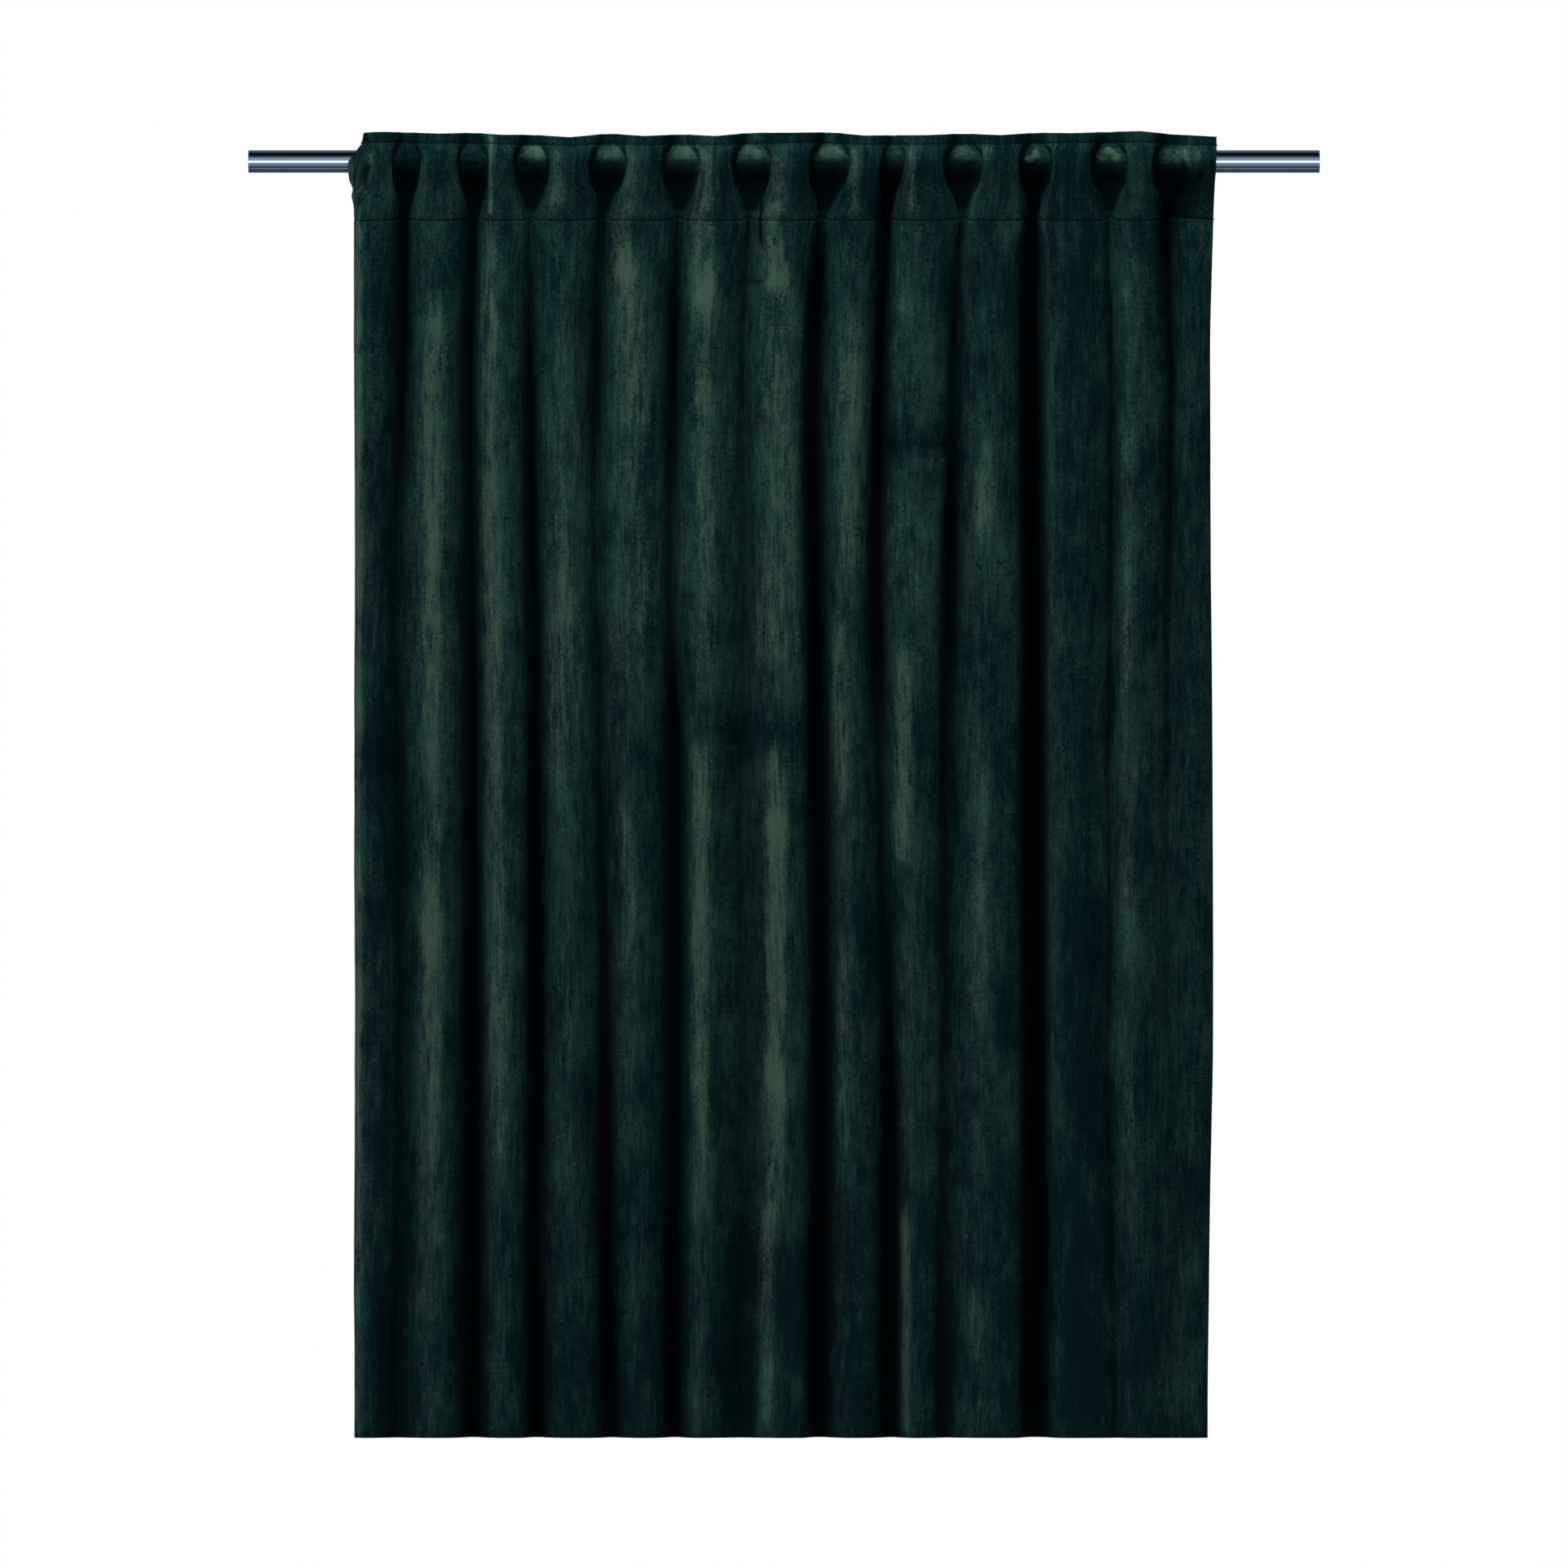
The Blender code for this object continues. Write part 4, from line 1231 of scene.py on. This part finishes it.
def makePanel():
    look = cloth
    rows, grid, hollow = makePanelGrid()
    normals = surfaceNormals(grid)
    facing = np.clip((-normals[..., 1] - creaseLook["facingFrom"]) / creaseLook["facingOver"], 0, 1)
    creased = creaseHeights(grid) * facing
    relief = creased + unevenHeights(grid) + grooveHeights(rows, grid.shape[1])
    # painted shade goes into each crease
    hollow = np.minimum(1.0, hollow + creaseLook["shade"] * np.maximum(0.0, -creased))
    grid = grid + normals * relief[..., None]
    normals = surfaceNormals(grid)
    # the brushed nap with the painted highlights and painted shade of the patches, and a painted highlight on
    # each ridge
    brush = brushAndPaintedLightValues(grid) + creaseLook["gleam"] * np.maximum(0.0, creased)

    # how far along the cut cloth each column lies
    steps = np.linalg.norm(np.diff(grid[..., :2], axis=1), axis=2)
    places = np.concatenate((np.zeros((len(rows), 1)), np.cumsum(steps, axis=1)), axis=1)
    width = look["finishedWidth"] / mm
    places = np.broadcast_to((places / places[:, -1:] * width).mean(axis=0), places.shape)

    # the outermost row all round is thinner, which rounds every edge
    thick, hems = thicknesses(rows, places, width)
    rim = np.zeros(thick.shape, bool)
    rim[0] = rim[-1] = True
    rim[:, 0] = rim[:, -1] = True
    inset = np.where(rim, thick * (1 - look["edgeShare"]) / 2, 0.0)
    face = grid - normals * inset[..., None]
    back = grid - normals * (thick - inset)[..., None]

    count = grid.shape[0] * grid.shape[1]
    verts = np.concatenate((face.reshape(-1, 3), back.reshape(-1, 3))) * mm
    index = np.arange(count).reshape(grid.shape[:2])
    quads = np.stack((index[:-1, :-1], index[1:, :-1], index[1:, 1:], index[:-1, 1:]), axis=-1)
    frontFaces = quads.reshape(-1, 4)
    backFaces = frontFaces[:, ::-1] + count
    loop = np.concatenate((index[0, :-1], index[:-1, -1], index[-1, :0:-1], index[:0:-1, 0]))
    following = np.roll(loop, -1)
    rimFaces = np.stack((loop, following, following + count, loop + count), axis=-1)
    faces = np.concatenate((frontFaces, backFaces, rimFaces))

    mesh = bpy.data.meshes.new("velvetPanel")
    mesh.from_pydata(verts.tolist(), [], faces.tolist())
    mesh.materials.append(velvet)
    mesh.materials.append(reverse)
    inHem = (hems[:-1, :-1] & hems[1:, :-1] & hems[1:, 1:] & hems[:-1, 1:]).reshape(-1)
    slots = np.zeros(len(faces), np.int32)
    slots[len(frontFaces):2 * len(frontFaces)] = np.where(inHem, 0, 1)
    mesh.polygons.foreach_set("material_index", slots)

    flat = np.stack((places, np.broadcast_to(rows[:, None], places.shape)), axis=-1).reshape(-1, 2) * mm
    flat = np.concatenate((flat, flat))
    corners = np.zeros(len(mesh.loops), np.int32)
    mesh.loops.foreach_get("vertex_index", corners)
    mesh.uv_layers.new(name="cloth").data.foreach_set("uv", flat[corners].astype(np.float32).ravel())
    # the brushing with its painted light, and the painted shade, go to the pile as attributes
    for name, front in (("brush", brush), ("hollow", hollow)):
        values = np.concatenate((front.reshape(-1), np.zeros(count))).astype(np.float32)
        mesh.attributes.new(name, "FLOAT", "POINT").data.foreach_set("value", values)
    mesh.shade_smooth()
    panel = bpy.data.objects.new("velvetPanel", mesh)
    bpy.context.scene.collection.objects.link(panel)
    return panel, rows, grid, normals, thick


panel, rowLevels, panelGrid, panelNormals, panelThick = makePanel()
print("the velvet panel has", len(panel.data.polygons), "faces")


# Stitches along a line of points, each laid flat on the cloth that faces outward there
stitchLook = {
    "pitch": 0.0040,
    "length": 0.0033,
    "width": 0.0015,
    "height": 0.0010,
    "seed": 5,
    "segments": 6,
    "rings": 5,
    "shortest": 0.82,
    "longest": 1.12,
}


def stitchTree():
    tree = bpy.data.node_groups.new("stitchRow", "GeometryNodeTree")
    face = tree.interface
    face.new_socket("Geometry", in_out="INPUT", socket_type="NodeSocketGeometry")
    for name in ("Pitch", "Length", "Width", "Height"):
        face.new_socket(name, in_out="INPUT", socket_type="NodeSocketFloat")
    face.new_socket("Seed", in_out="INPUT", socket_type="NodeSocketInt")
    face.new_socket("Geometry", in_out="OUTPUT", socket_type="NodeSocketGeometry")
    s = NodeSheet(tree)
    look = stitchLook
    given = s.put("NodeGroupInput")
    curve = s.put("GeometryNodeMeshToCurve", sockets={"Mesh": given})
    dots = s.put("GeometryNodeResampleCurve", {"mode": "LENGTH"},
                 {"Curve": curve, "Length": given.other("Pitch")})
    ball = s.put("GeometryNodeMeshUVSphere",
                 sockets={"Segments": look["segments"], "Rings": look["rings"], "Radius": 0.5})
    tangent = s.put("GeometryNodeInputTangent")
    outward = s.put("GeometryNodeInputNamedAttribute", {"data_type": "FLOAT_VECTOR"},
                    {"Name": "outward"})
    turned = s.put("FunctionNodeAlignRotationToVector", {"axis": "X"}, {"Vector": tangent})
    turned = s.put("FunctionNodeAlignRotationToVector", {"axis": "Z", "pivot_axis": "X"},
                   {"Rotation": turned, "Vector": outward})
    vary = s.put("FunctionNodeRandomValue", {"data_type": "FLOAT"},
                 {"Min": look["shortest"], "Max": look["longest"], "Seed": given.other("Seed")}, out="Value")
    vary = Wire(s, next(o for o in vary.socket.node.outputs if o.enabled))
    size = s.put("ShaderNodeCombineXYZ", sockets={"X": given.other("Length") * vary,
                                                  "Y": given.other("Width"),
                                                  "Z": given.other("Height")})
    laid = s.put("GeometryNodeInstanceOnPoints",
                 sockets={"Points": dots, "Instance": ball, "Rotation": turned, "Scale": size})
    solid = s.put("GeometryNodeRealizeInstances", sockets={"Geometry": laid})
    smooth = s.put("GeometryNodeSetShadeSmooth", sockets={"Geometry": solid})
    done = s.put("GeometryNodeSetMaterial", sockets={"Geometry": smooth, "Material": thread})
    s.put("NodeGroupOutput", sockets={"Geometry": done})
    return tree


stitchNodes = stitchTree()


def makeStitches(name, lines):
    # lines: lists of points in metres with the outward direction at each
    verts, edges, outs = [], [], []
    for points, outwards in lines:
        start = len(verts)
        verts += [tuple(p) for p in points]
        outs += [tuple(o) for o in outwards]
        edges += [(start + n, start + n + 1) for n in range(len(points) - 1)]
    mesh = bpy.data.meshes.new(name)
    mesh.from_pydata(verts, edges, [])
    flat = np.array(outs, np.float32).ravel()
    mesh.attributes.new("outward", "FLOAT_VECTOR", "POINT").data.foreach_set("vector", flat)
    guide = bpy.data.objects.new(name + "Guide", mesh)
    bpy.context.scene.collection.objects.link(guide)
    modifier = guide.modifiers.new("stitches", "NODES")
    modifier.node_group = stitchNodes
    for item in stitchNodes.interface.items_tree:
        if item.in_out == "INPUT" and item.name.lower() in stitchLook:
            modifier[item.identifier] = stitchLook[item.name.lower()]
    bpy.context.view_layer.update()
    shown = guide.evaluated_get(bpy.context.evaluated_depsgraph_get())
    made = bpy.data.meshes.new_from_object(shown)
    made.name = name
    piece = bpy.data.objects.new(name, made)
    bpy.context.scene.collection.objects.link(piece)
    bpy.data.objects.remove(guide, do_unlink=True)
    print(name, "has", len(made.polygons), "faces")
    return piece


def acrossLine(level, lift, side=1):
    # a line across the cloth at one height of the cut, on its front (1) or its back (-1)
    at = np.interp(-level, -rowLevels, np.arange(len(rowLevels)))
    above = int(min(at, len(rowLevels) - 2))
    share = at - above
    points = panelGrid[above] * (1 - share) + panelGrid[above + 1] * share
    normal = panelNormals[above] * (1 - share) + panelNormals[above + 1] * share
    thick = panelThick[above] * (1 - share) + panelThick[above + 1] * share
    if side > 0:
        points = points + normal * lift
    else:
        points = points - normal * (thick + lift)[:, None]
    return points * mm, normal * side


def downLine(x, place):
    # a line down the front of the cloth, along the column that lies at x near the hem
    row = int(np.argmin(np.abs(rowLevels - place["level"])))
    facing = panelNormals[row, :, 1] < place["facing"]
    distance = np.where(facing, np.abs(panelGrid[row, :, 0] - x), math.inf)
    column = int(np.argmin(distance))
    chosen = np.where((rowLevels <= place["from"]) & (rowLevels >= place["to"]))[0]
    normal = panelNormals[chosen, column]
    points = panelGrid[chosen, column] + normal * place["lift"]
    return points * mm, normal


# Where the side hem's line lies, how far the rows across stand off the pile, and how far below the
# upper edge of the bottom hem its own row is sewn
sideLine = {"x": -486, "level": -1400, "facing": -0.3, "from": -420, "to": hem + 4, "lift": 0.05}
rowLift = 0.1
hemInset = 5

topStitches = makeStitches("topStitches", [acrossLine(headerStitch["top"], rowLift)])
headerStitches = makeStitches("headerStitches", [acrossLine(headerStitch["bottom"], rowLift)])
backLevels = (headerStitch["top"], headerStitch["bottom"], cloth["bottomHemTop"] - hemInset)
backStitches = makeStitches("backStitches", [acrossLine(level, rowLift, -1) for level in backLevels])
sideStitches = makeStitches("sideStitches", [downLine(sideLine["x"], sideLine)])

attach(panel, "root")
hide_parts("curtain_panel")
panelStitches = [topStitches, headerStitches, backStitches, sideStitches]
for piece in panelStitches:
    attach(piece, "root")


# The hidden tabs: from behind the header seam, over and behind the rod, down to the lower stitch line
tabs = {
    "thickness": 1.4,
    "width": 30,
    "endWidth": 22,
    "top": 25,
    "topY": -4.1,
    "topRun": 4,
    "leanRun": 7.6,
    "lean": 1.4,
    "overRod": 15.3,
    "feet": (-60, stitch, -71),
    "behind": 3.95,
    "arcStart": 88,
    "arcSteps": 26,
    "leftMiddle": -508,
    "rightMiddle": 496,
    "columns": 8,
    "straightSteps": 10,
    "patternStep": 0.05,
    "edge": 0.4,
    "edgeSegments": 2,
    "edgeAngle": 50,
}


def tabFoot(index):
    # just behind the recess floor, or behind the flat cloth at the two ends
    t = tabs
    if index is None:
        return [(header[-1].floor + t["behind"], z) for z in t["feet"]]
    slope = (recessFloor(index, stitch) - recessFloor(index, waist)) / (stitch - waist)
    return [(recessFloor(index, z) + t["behind"] * math.hypot(1, slope), z) for z in t["feet"]]


def tabPath(index):
    t = tabs
    feet = tabFoot(index)
    footY, footZ = feet[0]
    reach = math.hypot(footY, footZ)
    leave = math.atan2(footZ, footY) + math.acos(t["overRod"] / reach)
    start = math.radians(t["arcStart"])
    path = [(t["topY"], t["top"]), (t["topY"], t["top"] - t["topRun"]),
            (t["topY"] + t["lean"], t["top"] - t["leanRun"])]
    for step in range(t["arcSteps"] + 1):
        angle = start + (leave - start) * step / t["arcSteps"]
        path.append((t["overRod"] * math.cos(angle), t["overRod"] * math.sin(angle)))
    last = path[-1]
    for step in range(1, t["straightSteps"] + 1):
        share = step / t["straightSteps"]
        path.append((last[0] + share * (footY - last[0]), last[1] + share * (footZ - last[1])))
    return path + feet[1:]


def makeTab(number, index, middle, width):
    t = tabs
    path = np.array(tabPath(index))
    steps = np.linalg.norm(np.diff(path, axis=0), axis=1)
    along = np.concatenate(([0], np.cumsum(steps)))
    sides = np.linspace(-0.5, 0.5, t["columns"] + 1)
    verts, flat = [], []
    for (y, z), down in zip(path, along):
        for side in sides:
            verts.append(((middle + side * width) * mm, y * mm, z * mm))
            flat.append((side * width * mm + number * t["patternStep"], -down * mm))
    wide = len(sides)
    faces = [
        (r * wide + c, (r + 1) * wide + c, (r + 1) * wide + c + 1, r * wide + c + 1)
        for r in range(len(path) - 1)
        for c in range(wide - 1)
    ]
    name = f"tab{number:02d}"
    mesh = bpy.data.meshes.new(name)
    mesh.from_pydata(verts, [], faces)
    mesh.materials.append(tabCloth)
    layer = mesh.uv_layers.new(name="cloth")
    for loop in mesh.loops:
        layer.data[loop.index].uv = flat[loop.vertex_index]
    mesh.shade_smooth()
    tab = bpy.data.objects.new(name, mesh)
    bpy.context.scene.collection.objects.link(tab)
    solid = tab.modifiers.new("cloth", "SOLIDIFY")
    solid.thickness = t["thickness"] * mm
    solid.offset = 0.0
    edge = tab.modifiers.new("edges", "BEVEL")
    edge.width = t["edge"] * mm
    edge.segments = t["edgeSegments"]
    edge.limit_method = "ANGLE"
    edge.angle_limit = math.radians(t["edgeAngle"])
    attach(tab, "root")
    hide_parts(f"tab_{number:02d}")
    width * mm


def makeTabs():
    places = [(None, tabs["leftMiddle"], tabs["endWidth"])]
    places += [(index, recess.rod, tabs["width"]) for index, recess in enumerate(recesses[:-1])]
    places.append((None, tabs["rightMiddle"], tabs["width"]))
    for number, place in enumerate(places, 1):
        makeTab(number, *place)
    print("made", len(places), "tabs")


# The rod: each end has a rounded edge and a plug with a shallow dish and a groove round it
rod = {
    "radius": 14.0,
    "length": 1320.0,
    "bevel": 1.0,
    "bevelSteps": 4,
    "sides": 160,
    "plugRadius": 12.2,
    "dishDepth": 0.2,
    "dishEdge": 2,
    "dishRim": 1.4,
    "grooveDepth": 0.5,
    "groove": 0.35,
    "rings": (0.9, 0.8, 0.6, 0.4, 0.2, 0),
    "sharpAngle": 35,
}


def makeRod():
    r = rod
    half, plug = r["length"] / 2, r["plugRadius"]
    # the profile of one half, from the middle of the end face to the middle of the rod
    profile = [(half - r["dishDepth"], 0.0), (half - r["dishDepth"], plug - r["dishEdge"]),
               (half, plug - r["dishRim"]), (half, plug - r["groove"]), (half - r["grooveDepth"], plug),
               (half, plug + r["groove"]), (half, r["radius"] - r["bevel"])]
    for step in range(1, r["bevelSteps"] + 1):
        angle = math.pi / 2 * step / r["bevelSteps"]
        profile.append((half - r["bevel"] * (1 - math.cos(angle)),
                        r["radius"] - r["bevel"] * (1 - math.sin(angle))))
    profile += [(half * share, r["radius"]) for share in r["rings"]]
    profile += [(-x, radius) for x, radius in reversed(profile[:-1])]
    rings, sides = profile[1:-1], r["sides"]
    verts = [(profile[0][0] * mm, 0, 0), (profile[-1][0] * mm, 0, 0)]
    for x, radius in rings:
        for n in range(sides):
            angle = 2 * math.pi * n / sides
            verts.append((x * mm, radius * mm * math.cos(angle), radius * mm * math.sin(angle)))
    faces = []
    for n in range(sides):
        m = (n + 1) % sides
        faces.append((0, 2 + n, 2 + m))
        last = 2 + (len(rings) - 1) * sides
        faces.append((1, last + m, last + n))
        for k in range(len(rings) - 1):
            a = 2 + k * sides
            faces.append((a + n, a + sides + n, a + sides + m, a + m))
    mesh = bpy.data.meshes.new("rodTube")
    mesh.from_pydata(verts, [], faces)
    mesh.materials.append(chrome)
    mesh.shade_smooth()
    mesh.set_sharp_from_angle(angle=math.radians(r["sharpAngle"]))
    tube = bpy.data.objects.new("rodTube", mesh)
    bpy.context.scene.collection.objects.link(tube)
    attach(tube, "root")
    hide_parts("rod")


makeTabs()
makeRod()
print("made the rod")


# The studio: white all round, with the lights that the rod mirrors
studio = {
    "floor": -2.2,
    "floorRadius": 2.0,
    "tint": (0.84, 0.93, 1.08),
    "white": 1.0,
    "ambientLow": 0.06,
    "ambientHigh": 0.30,
    "ambientFrom": -0.6,
    "mirrorTint": (0.72, 0.93, 1.22),
    "floorThickness": 0.02,
    "floorSides": 128,
    "floorDark": (0.86, 0.86, 0.87),
    "floorLight": (0.92, 0.92, 0.92),
    "floorGrain": 3.0,
    "floorRoughness": (0.6, 0.7),
}

# Brightness of the surroundings by angle above the line of sight, as the chrome shows it
Glow = namedtuple("Glow", "angle brightness")
glows = [
    Glow(-180, 0.9), Glow(-168, 0.28), Glow(-138, 0.10), Glow(-104, 0.05), Glow(-92, 0.03),
    Glow(-80, 0.28), Glow(-68, 0.06), Glow(-58, 0.05), Glow(-44, 0.22), Glow(-24, 0.27),
    Glow(-15, 0.42), Glow(-8, 2.2), Glow(1, 2.2), Glow(8, 0.55), Glow(17, 0.38), Glow(34, 0.32),
    Glow(50, 0.04), Glow(68, 0.004), Glow(92, 0.002), Glow(104, 0.07), Glow(120, 0.12),
    Glow(138, 0.20), Glow(166, 0.3), Glow(180, 0.9),
]

# Each lamp's side and height as seen from the cloth, in degrees, how far off it is, how wide, and how
# strong
Lamp = namedtuple("Lamp", "name side height distance size energy")
lamps = [
    Lamp("overhead", -16, 64, 5.0, 1.5, 360),
    Lamp("side", -52, 14, 7.0, 1.6, 185),
    Lamp("rear", 155, 35, 6.0, 2.0, 220),
]
lampAim = Vector((0, 0, -0.7))


def makeWorld():
    world = bpy.data.worlds.new("studio")
    world.use_nodes = True
    world.node_tree.nodes.clear()
    s = NodeSheet(world.node_tree)
    way = s.put("ShaderNodeTexCoord", out="Generated")
    split = s.put("ShaderNodeSeparateXYZ", sockets={"Vector": way}, out="Z")
    turn = s.maths("ARCTAN2", split, split.other("Y") * -1.0)
    place = turn / (2 * math.pi) + 0.5
    stops = [(g.angle / 360 + 0.5, grey(g.brightness)) for g in glows]
    glow = s.put("ShaderNodeValToRGB", {"stops": stops}, {"Fac": place})
    tinted = s.put("ShaderNodeMix", {"data_type": "RGBA", "blend_type": "MULTIPLY"},
                   {0: 1.0, 6: glow, 7: (*studio["mirrorTint"], 1)}, 2)
    mirrored = s.put("ShaderNodeBackground", sockets={"Color": tinted, "Strength": 1.0})
    overhead = s.ramp(split, studio["ambientFrom"], 1.0, studio["ambientLow"], studio["ambientHigh"])
    ambient = s.put("ShaderNodeBackground", sockets={"Color": (*studio["tint"], 1),
                                                     "Strength": overhead})
    white = s.put("ShaderNodeBackground", sockets={"Color": (*grey(studio["white"]), 1)})
    rays = s.put("ShaderNodeLightPath", out="Is Camera Ray")
    lit = s.put("ShaderNodeMixShader", sockets={0: rays.other("Is Glossy Ray"), 1: ambient, 2: mirrored})
    mixed = s.put("ShaderNodeMixShader", sockets={0: rays, 1: lit, 2: white})
    s.put("ShaderNodeOutputWorld", sockets={"Surface": mixed})
    bpy.context.scene.world = world


def makeFloor():
    material, s = newMaterial("floorPaint")
    place = s.put("ShaderNodeTexCoord", out="Object")
    tone = s.grain(place, studio["floorGrain"])
    finishMaterial(s, {
        "Base Color": s.blend(tone, (*studio["floorDark"], 1), (*studio["floorLight"], 1)),
        "Roughness": s.ramp(tone, *noiseRange, *studio["floorRoughness"]),
    })
    thick = studio["floorThickness"]
    bpy.ops.mesh.primitive_cylinder_add(vertices=studio["floorSides"], radius=studio["floorRadius"],
                                        depth=thick, location=(0, 0, studio["floor"] - thick / 2))
    floor = bpy.context.object
    floor.name = "floor"
    floor.data.materials.append(material)
    floor.visible_glossy = False


def makeLamps():
    for lamp in lamps:
        side, height = math.radians(lamp.side), math.radians(lamp.height)
        way = Vector((math.sin(side) * math.cos(height), -math.cos(side) * math.cos(height),
                      math.sin(height)))
        data = bpy.data.lights.new(lamp.name, "AREA")
        data.shape = "DISK"
        data.size = lamp.size
        data.energy = lamp.energy
        light = bpy.data.objects.new(lamp.name, data)
        light.location = lampAim + way * lamp.distance
        light.rotation_euler = (-way).to_track_quat("-Z", "Y").to_euler()
        light.visible_camera = False
        light.visible_glossy = False
        bpy.context.scene.collection.objects.link(light)


makeWorld()
makeFloor()
makeLamps()
bpy.context.scene.view_settings.view_transform = "Standard"
print("the studio is lit")
